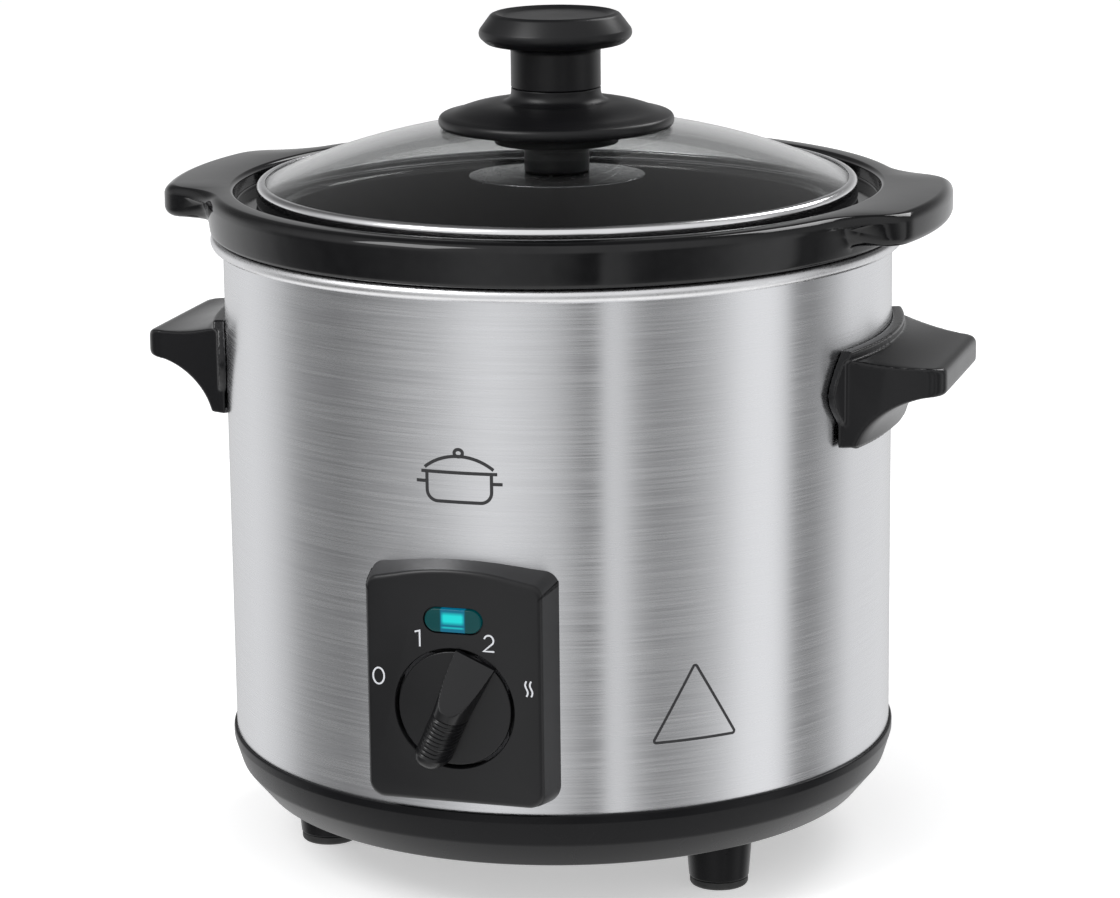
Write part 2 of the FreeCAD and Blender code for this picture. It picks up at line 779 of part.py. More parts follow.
def make_handle(side, turn):
    name = "handle_" + side
    profile = turned(name + "_profile", handle_side_outline())
    plan = padded(name + "_plan", "XY_Plane", [handle_plan_outline()], HANDLE_LIP)
    front = padded(name + "_front", "YZ_Plane", [handle_front_outline()], HANDLE_REACH)
    blank = common(name + "_blank", [profile, plan, front])
    drum = cylinder(name + "_seat", HANDLE_SEAT, HANDLE_LIP)
    tools = [drum]
    half = S.handle_screw_spread / 2
    for index, offset in enumerate((half, -half)):
        tools.append(cylinder("%s_pilot_%d" % (name, index), S.screw_radius,
                              HANDLE_PAD - S.base_wall / 2,
                              0, offset, HANDLE_SCREWS, TO_RIGHT))
    solid = cut(name + "_solid", blank, tools)
    solid.Placement = FreeCAD.Placement(ORIGIN, FreeCAD.Rotation(Z_AXIS, turn))
    node(solid, name)
    make_handle_plate(side, turn)


def make_handle_plate(side, turn):
    """Curved steel strip behind the shell that the handle screws pull against."""
    name = "handle_plate_" + side
    outer = SHELL_INNER - CLOSE_GAP
    inner = outer - S.handle_plate_thickness
    low = HANDLE_SCREWS - S.handle_plate_height / 2
    ring = turned(name + "_ring", rectangle(inner, outer, low, low + S.handle_plate_height))
    width = S.handle_screw_spread + S.handle_plate_margin * 2
    keep = block(name + "_keep", HANDLE_REACH, width, HANDLE_LIP, 0, -width / 2, 0)
    strip = common(name + "_strip", [ring, keep])
    holes = handle_screw_holes(name + "_hole", SCREW_HOLE)
    solid = cut(name + "_solid", strip, holes)
    solid.Placement = FreeCAD.Placement(ORIGIN, FreeCAD.Rotation(Z_AXIS, turn))
    node(solid, name)


def make_handle_screws():
    """Two screws for each handle, driven outwards from inside the shell."""
    half = S.handle_screw_spread / 2
    seat = leg(SHELL_INNER - S.handle_plate_thickness, half + S.screw_head) - S.fit_gap
    tip = HANDLE_PAD - S.base_wall
    screws = []
    for side, rotation, sign in (("right", TO_RIGHT, 1), ("left", TO_LEFT, -1)):
        for index, offset in enumerate((half, -half)):
            name = "handle_screw_%s_%d" % (side, index)
            shank = cylinder(name + "_shank", S.screw_radius - CLOSE_GAP, tip - seat,
                             seat * sign, offset, HANDLE_SCREWS, rotation)
            head = cylinder(name + "_head", S.screw_head, S.screw_head_height,
                            (seat - S.screw_head_height) * sign, offset,
                            HANDLE_SCREWS, rotation)
            screws.append(fused(name, [shank, head]))
    grouped("handle_screws_group", screws, "handle_screws")


# ---- control panel --------------------------------------------------------------------

def panel_outline(inset):
    """Front outline of the panel with its arched top, drawn smaller by inset."""
    half = S.panel_width / 2 - inset
    low = PANEL_BOTTOM + inset
    high = PANEL_SHOULDER - inset
    corner = S.panel_corner
    return [
        (-half + corner, low, corner),
        (half - corner, low),
        (half, low + corner, corner),
        (half, high - corner),
        (half - corner, high, corner),
        (-half + corner, high, S.panel_arch + inset),
        (-half, high - corner, corner),
        (-half, low + corner),
    ]


def make_control_housing():
    depth = PANEL_FACE - leg(S.shell_radius, S.panel_width / 2) + S.panel_run_in
    shell = padded("panel_block", "XZ_Plane", [panel_outline(as_size(0))], depth,
                   PANEL_FACE, backwards=True, taper=S.panel_draft)
    hollow = padded("panel_hollow", "XZ_Plane", [panel_outline(S.panel_wall)],
                    PANEL_FACE / 2, PANEL_BACK, backwards=True)
    drum = cylinder("panel_seat", HANDLE_SEAT, KNOB_TOP)
    recess = cylinder("panel_dial_recess", (S.dial_radius + S.dial_gap), S.dial_recess_depth,
                      0, S.dial_recess_depth - PANEL_FACE, DIAL_HEIGHT, TO_FRONT)
    bore = cylinder("panel_hub_hole", S.dial_hub_radius + S.fit_gap, PANEL_FACE,
                    0, 0, DIAL_HEIGHT, TO_FRONT)
    pill = stadium(S.lens_width / 2 + CLOSE_GAP, S.lens_tall / 2 + CLOSE_GAP,
                   as_size(0), LENS_HEIGHT)
    slot = padded("panel_lens_slot", "XZ_Plane", [pill], PANEL_FACE, PANEL_FACE + 1,
                  backwards=True)
    bosses = []
    pilots = []
    for index, height in enumerate(PANEL_SCREWS):
        bosses.append(cylinder("panel_boss_%d" % index, S.panel_boss, PANEL_FACE - S.base_wall / 2,
                               0, 0, height, TO_FRONT))
        pilots.append(cylinder("panel_pilot_%d" % index, S.foot_screw_radius,
                               PANEL_BACK - S.fit_gap, 0, 0, height, TO_FRONT))
    tray = cut("panel_tray", shell, [hollow])
    ribbed = fused("panel_ribbed", [tray] + bosses)
    node(cut("panel_solid", ribbed, [drum, recess, bore, slot] + pilots), "control_housing")


def make_panel_screws():
    seat = SHELL_INNER - S.fit_gap
    tip = PANEL_BACK - S.fit_gap * 3
    screws = []
    for index, height in enumerate(PANEL_SCREWS):
        name = "panel_screw_%d" % index
        shank = cylinder(name + "_shank", S.foot_screw_radius - CLOSE_GAP,
                         tip - seat + S.screw_head_height, 0, -seat + S.screw_head_height,
                         height, TO_FRONT)
        head = cylinder(name + "_head", S.foot_screw_radius * 1.6, S.screw_head_height,
                        0, -seat + S.screw_head_height, height, TO_FRONT)
        screws.append(fused(name, [shank, head]))
    grouped("panel_screws_group", screws, "panel_screws")


def make_switch():
    """Rotary heat switch behind the panel; its spindle belongs to the dial."""
    half = S.switch_width / 2
    front = PANEL_BACK - CLOSE_GAP
    box = block("switch_box", S.switch_width, S.switch_depth, S.switch_width,
                -half, -front, DIAL_HEIGHT - half)
    bore = cylinder("switch_bore_cut", S.spindle_radius + S.running_gap, S.switch_bore,
                    0, -front + S.switch_bore, DIAL_HEIGHT, TO_FRONT)
    tabs = []
    for index, side in enumerate((-S.tab_pitch, as_size(0), S.tab_pitch)):
        tabs.append(block("switch_tab_%d" % index, S.tab_width, S.switch_depth / 2, S.sheet,
                          side - S.tab_width / 2, -front + S.switch_depth / 2,
                          DIAL_HEIGHT - half - S.sheet))
    solid = cut("switch_cut", box, [bore])
    node(fused("switch_whole", [solid] + tabs), "rotary_switch")


def make_lamp():
    pill = stadium(S.lens_width / 2, S.lens_tall / 2, as_size(0), LENS_HEIGHT)
    rim = stadium(S.lens_width / 2 + S.lens_flange, S.lens_tall / 2 + S.lens_flange,
                  as_size(0), LENS_HEIGHT)
    window = padded("lens_window", "XZ_Plane", [pill], S.panel_wall + S.lens_proud,
                    PANEL_FACE + S.lens_proud, backwards=True)
    back = PANEL_BACK - CLOSE_GAP
    flange = padded("lens_rim", "XZ_Plane", [rim], S.lens_flange, back, backwards=True)
    window_stub = padded("lens_stub", "XZ_Plane", [pill], S.lens_flange, PANEL_BACK,
                         backwards=True)
    node(fused("lens_solid", [window, window_stub, flange]), "indicator_lens")
    lamp_y = -back + S.lens_flange + S.lamp_radius + S.fit_gap
    bulb = cylinder("lamp_bulb", S.lamp_radius, S.lamp_length, -S.lamp_length / 2, lamp_y,
                    LENS_HEIGHT, TO_RIGHT)
    node(bulb, "indicator_lamp")
    half = S.lamp_length / 2
    jaw = S.lamp_radius + S.fit_gap / 2
    holder = block("lamp_holder_block", S.lamp_length / 2, jaw * 2 + S.sheet, jaw * 2 + S.sheet * 2,
                   -half / 2, lamp_y - jaw, LENS_HEIGHT - jaw - S.sheet)
    bore = cylinder("lamp_holder_bore", jaw, S.lamp_length, -half, lamp_y, LENS_HEIGHT, TO_RIGHT)
    mouth = block("lamp_holder_mouth", S.lamp_length, jaw, jaw * 1.6,
                  -half, lamp_y - jaw, LENS_HEIGHT - jaw * 0.8)
    node(cut("lamp_holder_solid", holder, [bore, mouth]), "lamp_clip")


# ---- dial -------------------------------------------------------------------------------

def make_dial():
    """Dial drawn with its pointer up, then turned to the setting it rests at."""
    disc_back = PANEL_FACE - S.dial_recess_depth + S.fit_gap
    disc_front = PANEL_FACE + S.dial_proud
    disc = cylinder("dial_disc", S.dial_radius, disc_front - disc_back, 0, -disc_back, 0, TO_FRONT)
    half = S.dial_bar_width / 2
    reach = S.dial_radius - S.fit_gap
    shoulder = leg(reach, half)
    bar_outline = [
        (-half, -shoulder),
        (half, -shoulder, reach),
        (half, shoulder),
        (-half, shoulder, reach),
    ]
    bar = padded("dial_bar", "XZ_Plane", [bar_outline], S.dial_bar_height + S.dial_proud,
                 PANEL_FACE + S.dial_bar_height, backwards=True)
    hub_back = PANEL_BACK + S.fit_gap
    hub = cylinder("dial_hub", S.dial_hub_radius, disc_front - hub_back, 0, -hub_back, 0, TO_FRONT)
    body = fused("dial_body", [disc, bar, hub])
    socket = cylinder("dial_socket", S.spindle_radius + S.fit_gap / 10,
                      S.spindle_grip + S.fit_gap, 0, -hub_back + S.running_gap, 0, TO_FRONT)
    knob = cut("dial_solid", body, [socket])
    turn = FreeCAD.Rotation(FRONT, -S.dial_rest_angle.number)
    place(knob, 0, 0, DIAL_HEIGHT, turn)
    node(knob, "dial_knob")
    inner_end = PANEL_BACK - S.switch_bore + S.fit_gap * 2
    length = hub_back + S.spindle_grip - inner_end
    rod = cylinder("spindle_rod", S.spindle_radius, length, 0, -inner_end, 0, TO_FRONT)
    flat_low = S.spindle_radius - S.spindle_flat
    flat = block("spindle_flat_cut", S.spindle_radius * 2, S.spindle_grip, S.spindle_radius,
                 -S.spindle_radius, -hub_back - S.spindle_grip, flat_low)
    spindle = cut("spindle_solid", rod, [flat])
    place(spindle, 0, 0, DIAL_HEIGHT, turn)
    node(spindle, "switch_spindle")


# ---- inside the base ----------------------------------------------------------------------

def make_centre_fixing():
    """Stud under the liner, with the nut that clamps the plastic base to it."""
    under = LINER_BOTTOM - CLOSE_GAP
    nut_top = S.base_bottom - S.washer_thickness - CLOSE_GAP
    tip = nut_top - S.nut_height - S.fit_gap * 2
    flare = cylinder("stud_foot", S.stud_foot_radius, S.stud_foot_height, 0, 0,
                     under - S.stud_foot_height)
    rod = cylinder("stud_rod", S.stud_radius, under - tip, 0, 0, tip)
    node(fused("stud_solid", [flare, rod]), "centre_stud")
    ring = cylinder("washer_disc", S.washer_radius, S.washer_thickness, 0, 0, nut_top)
    ring_hole = cylinder("washer_hole", S.stud_radius + S.fit_gap, S.base_bottom, 0, 0, 0)
    node(cut("washer_solid", ring, [ring_hole]), "centre_washer")
    hexagon = DOC.addObject("Part::Prism", "nut_prism")
    hexagon.Polygon = 6
    bind(hexagon, "Circumradius", S.nut_radius)
    bind(hexagon, "Height", S.nut_height)
    place(hexagon, 0, 0, nut_top - S.nut_height - CLOSE_GAP)
    nut_hole = cylinder("nut_hole", S.stud_radius + S.running_gap, S.base_bottom, 0, 0, 0)
    node(cut("nut_solid", hexagon, [nut_hole]), "centre_nut")


def make_fuse():
    """Thermal fuse in its clip under the liner."""
    axis = LINER_BOTTOM - S.fuse_radius - S.sheet - S.fit_gap
    half = S.fuse_length / 2
    node(cylinder("fuse_rod", S.fuse_radius, S.fuse_length, S.fuse_place - half, 0, axis, TO_RIGHT),
         "thermal_fuse")
    ring = S.fuse_radius + S.fit_gap / 2
    outer = cylinder("fuse_clip_outer", ring + S.sheet, S.strap_width, S.fuse_place - S.strap_width / 2,
                     0, axis, TO_RIGHT)
    wing_width = ring * 6
    top = axis + ring + S.sheet
    wing = block("fuse_clip_wing", S.strap_width, wing_width, S.sheet,
                 S.fuse_place - S.strap_width / 2, -wing_width / 2, top - S.sheet)
    body = fused("fuse_clip_body", [outer, wing])
    bore = cylinder("fuse_clip_bore", ring, S.fuse_length, S.fuse_place - half, 0, axis, TO_RIGHT)
    node(cut("fuse_clip_solid", body, [bore]), "fuse_clip")


def make_terminal_block():
    seat = BASE_FLOOR + CLOSE_GAP
    brick = block("terminal_brick", S.block_length, S.block_depth, S.block_height,
                  -S.block_length / 2, S.block_place, seat)
    wells = []
    for index, share in enumerate((-1, 1)):
        x = S.block_length / 4 * share
        wells.append(cylinder("terminal_well_%d" % index, S.screw_radius, S.block_height / 2,
                              x, S.block_place + S.block_depth / 2,
                              seat + S.block_height * 0.6))
    node(cut("terminal_solid", brick, wells), "terminal_block")


def make_gland():
    """Rear bush with an open bore for a supply lead."""
    outside = S.shell_radius + CLOSE_GAP
    end = outside + S.gland_flange_depth
    start = SHELL_INNER - S.gland_inside
    body = cylinder("gland_barrel", S.gland_body, end - start, 0, start, GLAND_HEIGHT, TO_REAR)
    flange = cylinder("gland_collar", S.gland_flange, S.gland_flange_depth, 0, outside,
                      GLAND_HEIGHT, TO_REAR)
    bore = cylinder("gland_bore_cut", S.gland_bore, PANEL_FACE * 2, 0, 0, GLAND_HEIGHT, TO_REAR)
    lock = cylinder("gland_lock", S.gland_body + S.sheet, S.gland_inside / 3, 0,
                    start, GLAND_HEIGHT, TO_REAR)
    whole = fused("gland_whole", [body, flange, lock])
    node(cut("gland_solid", whole, [bore]), "cord_gland")


# ---- inner leads -------------------------------------------------------------------------

def route(points):
    """Straight runs joined by tangent arcs, each as large as its two runs allow."""
    edges = []
    start = points[0]
    for index in range(1, len(points) - 1):
        corner = points[index]
        before = corner - points[index - 1]
        after = points[index + 1] - corner
        turn = before.getAngle(after)
        reach = 0.45 * min(before.Length, after.Length)
        before.normalize()
        after.normalize()
        enter = corner - before * reach
        leave = corner + after * reach
        inward = (after - before).normalize()
        radius = reach / math.tan(turn / 2)
        to_centre = radius / math.cos(turn / 2)
        middle = corner + inward * (to_centre - radius)
        edges.append(Part.LineSegment(start, enter).toShape())
        edges.append(Part.Arc(enter, middle, leave).toShape())
        print("arc radius %.1f" % radius)
        start = leave
    edges.append(Part.LineSegment(start, points[-1]).toShape())
    return Part.Wire(edges)


def make_lead(label, corners):
    """An insulated lead that the housing holds along its whole length."""
    points = [FreeCAD.Vector(*[as_size(value).number for value in corner]) for corner in corners]
    path = route(points)
    radius = S.lead_radius.number
    ring = Part.Wire([Part.makeCircle(radius, points[0], points[1] - points[0])])
    tube = path.makePipeShell([ring], True, False)
    swept = math.pi * radius * radius * path.Length
    if abs(tube.Volume - swept) > swept * 0.01:
        raise ValueError("%s: %.1f is not %.1f" % (label, tube.Volume, swept))
    lead = DOC.addObject("Part::Feature", label)
    lead.Shape = tube
    node(lead, label)


def make_leads():
    """Terminal block to fuse, fuse to switch, switch to heater and heater to block."""
    gap = S.lead_gap
    block_side = S.block_length / 2 + gap
    block_y = S.block_place + S.block_depth / 2
    low = BASE_FLOOR + S.block_height / 2
    fuse_axis = LINER_BOTTOM - S.fuse_radius - S.sheet - S.fit_gap
    fuse_end = S.fuse_place + S.fuse_length / 2 + gap
    fuse_start = S.fuse_place - S.fuse_length / 2 - gap
    band_low = BAND_BOTTOM - gap
    band_mid = LINER_RADIUS + S.band_thickness / 2 + gap
    switch_low = DIAL_HEIGHT - S.switch_width / 2 - S.sheet - gap
    switch_y = -(PANEL_BACK - S.switch_depth * 0.75)
    tab = S.tab_pitch
    make_lead("lead_supply", [
        (block_side, block_y, low),
        (block_side + 14, block_y - 2, low),
        (block_side + 30, block_y - 16, low + 3),
        (fuse_end + 14, 24, low + 9),
        (fuse_end + 16, 6, fuse_axis - 1),
        (fuse_end, 0, fuse_axis),
    ])
    make_lead("lead_switch_feed", [
        (fuse_start, 0, fuse_axis),
        (fuse_start - 9, -3, fuse_axis - 1),
        (fuse_start - 14, -16, fuse_axis - 6),
        (12, -44, low + 8),
        (11, -72, low + 6),
        (9, -85, low + 10),
        (tab, switch_y, switch_low - 6),
        (tab, switch_y, switch_low),
    ])
    make_lead("lead_heater_feed", [
        (-tab, switch_y, switch_low),
        (-tab, switch_y, switch_low - 6),
        (-14, -86, low + 12),
        (-30, -76, low + 10),
        (-58, -52, low + 12),
        (-band_mid, -16, low + 18),
        (-band_mid, 0, LINER_BOTTOM + 2),
        (-band_mid, 0, band_low),
    ])
    make_lead("lead_heater_return", [
        (-band_mid * 0.8, band_mid * 0.6, band_low),
        (-band_mid * 0.8, band_mid * 0.6, LINER_BOTTOM + 2),
        (-60, 54, low + 14),
        (-44, 60, low + 4),
        (-block_side - 14, block_y + 1, low),
        (-block_side, block_y, low),
    ])


# ---- crock ---------------------------------------------------------------------------------

def lug_outline():
    """Carrying lug from above: round tip, round corners and hollow flanks onto the rim."""
    corner_ring = LUG_REACH - S.lug_corner
    blend_ring = RIM_RADIUS + S.lug_blend
    between = S.lug_corner + S.lug_blend
    spread = corner_ring * corner_ring + blend_ring * blend_ring - between * between
    tip_turn = degrees(S.lug_angle)
    rim_turn = tip_turn + angle_of_cosine(spread / (corner_ring * blend_ring * 2))
    meet = S.lug_corner / between
    corner_x = corner_ring * cosine(tip_turn)
    corner_y = corner_ring * sine(tip_turn)
    flank_x = corner_x + (blend_ring * cosine(rim_turn) - corner_x) * meet
    flank_y = corner_y + (blend_ring * sine(rim_turn) - corner_y) * meet
    tip_x = LUG_REACH * cosine(tip_turn)
    tip_y = LUG_REACH * sine(tip_turn)
    rim_x = RIM_RADIUS * cosine(rim_turn)
    rim_y = RIM_RADIUS * sine(rim_turn)
    root_x = (RIM_RADIUS - S.lug_overlap) * cosine(rim_turn)
    root_y = (RIM_RADIUS - S.lug_overlap) * sine(rim_turn)
    return [
        (root_x, -root_y, -(RIM_RADIUS - S.lug_overlap)),
        (rim_x, -rim_y),
        (flank_x, -flank_y, -S.lug_blend),
        (tip_x, -tip_y, S.lug_corner),
        (tip_x, tip_y, LUG_REACH),
        (flank_x, flank_y, S.lug_corner),
        (rim_x, rim_y, -S.lug_blend),
        (root_x, root_y),
    ]


def make_crock():
    inner_top = WELL_TOP - S.crock_wall
    inner_low = WELL_BOTTOM - S.crock_wall
    inner_corner = S.well_corner - S.lip_round
    floor = CROCK_BOTTOM + S.crock_floor
    tuck = S.lip_round
    foot_ring = WELL_BOTTOM - S.foot_ring_inset
    outline = [
        (0, CROCK_BOTTOM + tuck),
        (foot_ring, CROCK_BOTTOM + tuck),
        (foot_ring + tuck, CROCK_BOTTOM),
        (WELL_BOTTOM - S.well_corner, CROCK_BOTTOM),
        (WELL_BOTTOM, CROCK_BOTTOM + S.well_corner, S.well_corner),
        (WELL_TOP, CROCK_SEAT),
        (SKIRT_RADIUS - tuck, CROCK_SEAT),
        (SKIRT_RADIUS, CROCK_SEAT + tuck, tuck),
        (RIM_RADIUS, RIM_TOP - S.rim_round),
        (RIM_RADIUS - S.rim_round, RIM_TOP, S.rim_round),
        (RECESS_RADIUS + tuck, RIM_TOP),
        (RECESS_RADIUS, RIM_TOP - tuck, tuck),
        (RECESS_RADIUS, LID_LEDGE),
        (inner_top + tuck, LID_LEDGE),
        (inner_top, LID_LEDGE - tuck, tuck),
        (inner_low, floor + inner_corner),
        (inner_low - inner_corner, floor, -inner_corner),
        (0, floor),
    ]
    pot = turned("crock_pot", outline)
    lugs = []
    for side, turn in (("right", 0), ("left", 180)):
        lug = padded("crock_lug_" + side, "XY_Plane", [lug_outline()], S.lug_thickness)
        lug.Placement.Rotation = FreeCAD.Rotation(Z_AXIS, turn)
        bind(lug, "Placement.Base.z", RIM_TOP - S.lug_thickness)
        lugs.append(lug)
    node(fused("crock_solid", [pot] + lugs), "stoneware_crock")


# ---- lid -----------------------------------------------------------------------------------

def make_lid_glass():
    hole = SCREW_HOLE
    outline = [
        (hole, dome(GLASS_INNER_SPHERE, UNDER_APEX, hole), GLASS_INNER_SPHERE),
        (hole, dome(S.glass_sphere, GLASS_APEX, hole)),
        (GLASS_RADIUS, dome(S.glass_sphere, GLASS_APEX, GLASS_RADIUS), -S.glass_sphere),
        (GLASS_RADIUS, dome(GLASS_INNER_SPHERE, UNDER_APEX, GLASS_RADIUS)),
    ]
    node(turned("glass_dome", outline), "lid_glass")


def make_lid_bezel():
    """Steel channel rolled round the edge of the glass."""
    sheet = S.bezel_sheet
    inner = BEZEL_INNER
    outline = [
        (inner, BEZEL_BOTTOM),
        (BEZEL_RADIUS - sheet, BEZEL_BOTTOM),
        (BEZEL_RADIUS, BEZEL_BOTTOM + sheet, sheet),
        (BEZEL_RADIUS, BEZEL_TOP - sheet * 2),
        (BEZEL_RADIUS - sheet * 2, BEZEL_TOP, sheet * 2),
        (inner, BEZEL_TOP),
        (inner, BEZEL_TOP - sheet),
        (BEZEL_RADIUS - sheet * 2, BEZEL_TOP - sheet),
        (BEZEL_RADIUS - sheet, BEZEL_TOP - sheet * 2, -sheet),
        (BEZEL_RADIUS - sheet, BEZEL_BOTTOM + sheet),
        (inner, BEZEL_BOTTOM + sheet),
    ]
    node(turned("bezel_ring", outline), "lid_bezel")


def make_knob():
    """Flanged neck on the glass and the grip that screws down onto it."""
    rest = S.glass_sphere + CLOSE_GAP
    apex = GLASS_APEX + CLOSE_GAP
    edge = S.flange_radius - S.flange_edge / 2
    edge_low = dome(rest, apex, edge)
    edge_top = edge_low + S.flange_edge
    crown = edge_top + S.flange_rise
    crown_foot = S.neck_radius + S.neck_fillet
    hole = SCREW_HOLE
    seam = KNOB_SEAM - CLOSE_GAP
    reach = edge - crown_foot
    crown_radius = (reach * reach + S.flange_rise * S.flange_rise) / (S.flange_rise * 2)
    outline = [
        (hole, dome(rest, apex, hole), rest),
        (hole, seam),
        (S.neck_radius, seam),
        (S.neck_radius, crown + S.neck_fillet),
        (crown_foot, crown, S.neck_fillet),
        (edge, edge_top, -crown_radius),
        (S.flange_radius, edge_top - S.flange_edge / 2, -S.flange_edge / 2),
        (edge, edge_low, -S.flange_edge / 2),
    ]
    node(turned("knob_flange", outline), "knob_base")
    thread_top = KNOB_SEAM + S.cap_thread_depth
    chamfer = KNOB_TOP - S.flange_edge / 2
    throat = S.neck_radius + S.neck_fillet * 1.6
    cap_outline = [
        (0, thread_top),
        (S.screw_radius + S.running_gap, thread_top),
        (S.screw_radius + S.running_gap, KNOB_SEAM),
        (S.neck_radius, KNOB_SEAM),
        (S.neck_radius, CAP_UNDERSIDE - S.neck_fillet),
        (throat, CAP_UNDERSIDE, -S.neck_fillet * 2),
        (S.cap_radius, CAP_WIDEST, CAP_WIDEST - CAP_UNDERSIDE + S.fit_gap),
        (S.cap_radius - S.flange_edge / 2, chamfer, S.flange_edge * 2),
        (S.cap_edge, KNOB_TOP, S.flange_edge * 2),
        (S.cap_edge - S.flange_edge, KNOB_TOP - S.cap_dish),
        (0, KNOB_TOP - S.cap_dish),
    ]
    node(turned("cap_turned", cap_outline), "knob_cap")


def make_lid_underside():
    hole = SCREW_HOLE
    small = CLOSE_GAP
    node(turned("seal_turned", rectangle(hole, S.seal_radius, SEAL_BOTTOM, SEAL_TOP)), "lid_seal")
    node(turned("boss_turned", rectangle(hole, S.boss_radius, BOSS_BOTTOM, SEAL_BOTTOM - small)),
         "lid_boss")
    outline = [
        (hole, DISC_BOTTOM),
        (S.boss_radius, DISC_BOTTOM),
        (S.disc_radius, DISC_BOTTOM - S.disc_thickness),
        (S.disc_radius, DISC_BOTTOM - small),
        (S.boss_radius, BOSS_BOTTOM - small),
        (hole, BOSS_BOTTOM - small),
    ]
    node(turned("disc_turned", outline), "lid_disc")
    head_top = DISC_BOTTOM - small
    head_low = head_top - S.screw_head_height
    top = KNOB_SEAM + S.cap_thread_depth - S.fit_gap
    rod = cylinder("lid_screw_rod", S.screw_radius, top - head_low, 0, 0, head_low)
    head = cylinder("lid_screw_head", S.screw_head, S.screw_head_height, 0, 0, head_low)
    slot = block("lid_screw_slot", S.screw_head * 2, S.sheet * 2, S.sheet * 1.5,
                 -S.screw_head, -S.sheet, head_low)
    node(cut("lid_screw_solid", fused("lid_screw_body", [rod, head]), [slot]), "knob_screw")


# ---- build, check and write ---------------------------------------------------------------

def check_model():
    """Every object has recomputed, and every sub-part is a sound solid."""
    faults = []
    for thing in DOC.Objects:
        if "Invalid" in thing.State or "Error" in thing.State:
            faults.append("%s is %s" % (thing.Name, thing.State))
    for thing in NODES:
        shape = thing.Shape
        if shape.isNull() or not shape.isValid() or not shape.Solids:
            faults.append("%s has no sound shape" % thing.Label)
    if faults:
        raise ValueError("\n".join(faults))


def write_parts():
    os.makedirs("parts", exist_ok=True)
    for thing in NODES:
        thing.Shape.exportStep("parts/%s.step" % thing.Label)
        box = thing.Shape.BoundBox
        print("%-24s solids %d volume %9.1f  z %6.1f to %6.1f" % (
            thing.Label, len(thing.Shape.Solids), thing.Shape.Volume, box.ZMin, box.ZMax))


def build():
    make_outer_shell()
    make_liner()
    make_heater()
    make_base()
    make_feet()
    make_handle("right", 0)
    make_handle("left", 180)
    make_handle_screws()
    make_control_housing()
    make_panel_screws()
    make_switch()
    make_lamp()
    make_dial()
    make_centre_fixing()
    make_fuse()
    make_terminal_block()
    make_gland()
    make_leads()
    make_crock()
    make_lid_glass()
    make_lid_bezel()
    make_knob()
    make_lid_underside()
    DOC.recompute()
    check_model()
    write_parts()


build()
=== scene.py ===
import json
import math

import bmesh
import bpy
from mathutils import Matrix, Vector


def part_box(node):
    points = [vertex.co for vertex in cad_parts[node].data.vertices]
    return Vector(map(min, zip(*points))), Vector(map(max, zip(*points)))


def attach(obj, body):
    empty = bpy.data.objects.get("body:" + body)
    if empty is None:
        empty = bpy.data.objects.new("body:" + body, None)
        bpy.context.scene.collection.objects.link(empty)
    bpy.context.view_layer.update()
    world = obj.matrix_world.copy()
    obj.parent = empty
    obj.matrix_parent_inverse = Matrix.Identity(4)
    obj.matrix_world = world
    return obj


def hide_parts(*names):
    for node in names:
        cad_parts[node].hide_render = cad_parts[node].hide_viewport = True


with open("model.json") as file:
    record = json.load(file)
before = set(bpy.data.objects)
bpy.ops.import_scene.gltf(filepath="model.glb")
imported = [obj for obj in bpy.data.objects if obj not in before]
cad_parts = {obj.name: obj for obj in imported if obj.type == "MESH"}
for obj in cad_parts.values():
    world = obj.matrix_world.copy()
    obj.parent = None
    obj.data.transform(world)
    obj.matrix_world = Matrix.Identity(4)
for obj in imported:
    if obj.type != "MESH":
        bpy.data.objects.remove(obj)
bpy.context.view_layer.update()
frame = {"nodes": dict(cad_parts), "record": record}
NODES = frame["nodes"]
MM = 0.001
TURN = math.tau
SEGMENTS = 288


# ---- sizes taken from the frame, in millimetres ---------------------------------------------

def low(node, axis):
    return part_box(node)[0]["xyz".index(axis)] / MM


def high(node, axis):
    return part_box(node)[1]["xyz".index(axis)] / MM


SHELL_RADIUS = high("outer_shell", "x")
BEAD_RADIUS = high("heating_liner", "x")
BASE_RADIUS = high("base_pan", "x")
RIM_RADIUS = high("stoneware_crock", "y")
LUG_REACH = high("stoneware_crock", "x")
GLASS_RADIUS = high("lid_glass", "x")
BEZEL_RADIUS = high("lid_bezel", "x")
FLANGE_RADIUS = high("knob_base", "x")
CAP_RADIUS = high("knob_cap", "x")
PANEL_FACE = -low("control_housing", "y")
SWITCH_TO_PANEL_EDGE = 10.2
PANEL_HALF = high("rotary_switch", "x") + SWITCH_TO_PANEL_EDGE
DIAL_HEIGHT = (low("switch_spindle", "z") + high("switch_spindle", "z")) / 2
LENS_HEIGHT = (low("indicator_lamp", "z") + high("indicator_lamp", "z")) / 2
DIAL_RADIUS = 15.75
GLASS_SPHERE = 205.0
KNOB_NECK = 12.7
KNOB_HOLE = 2.2
BOSS_RADIUS = 9.2


# ---- outlines -----------------------------------------------------------------------------

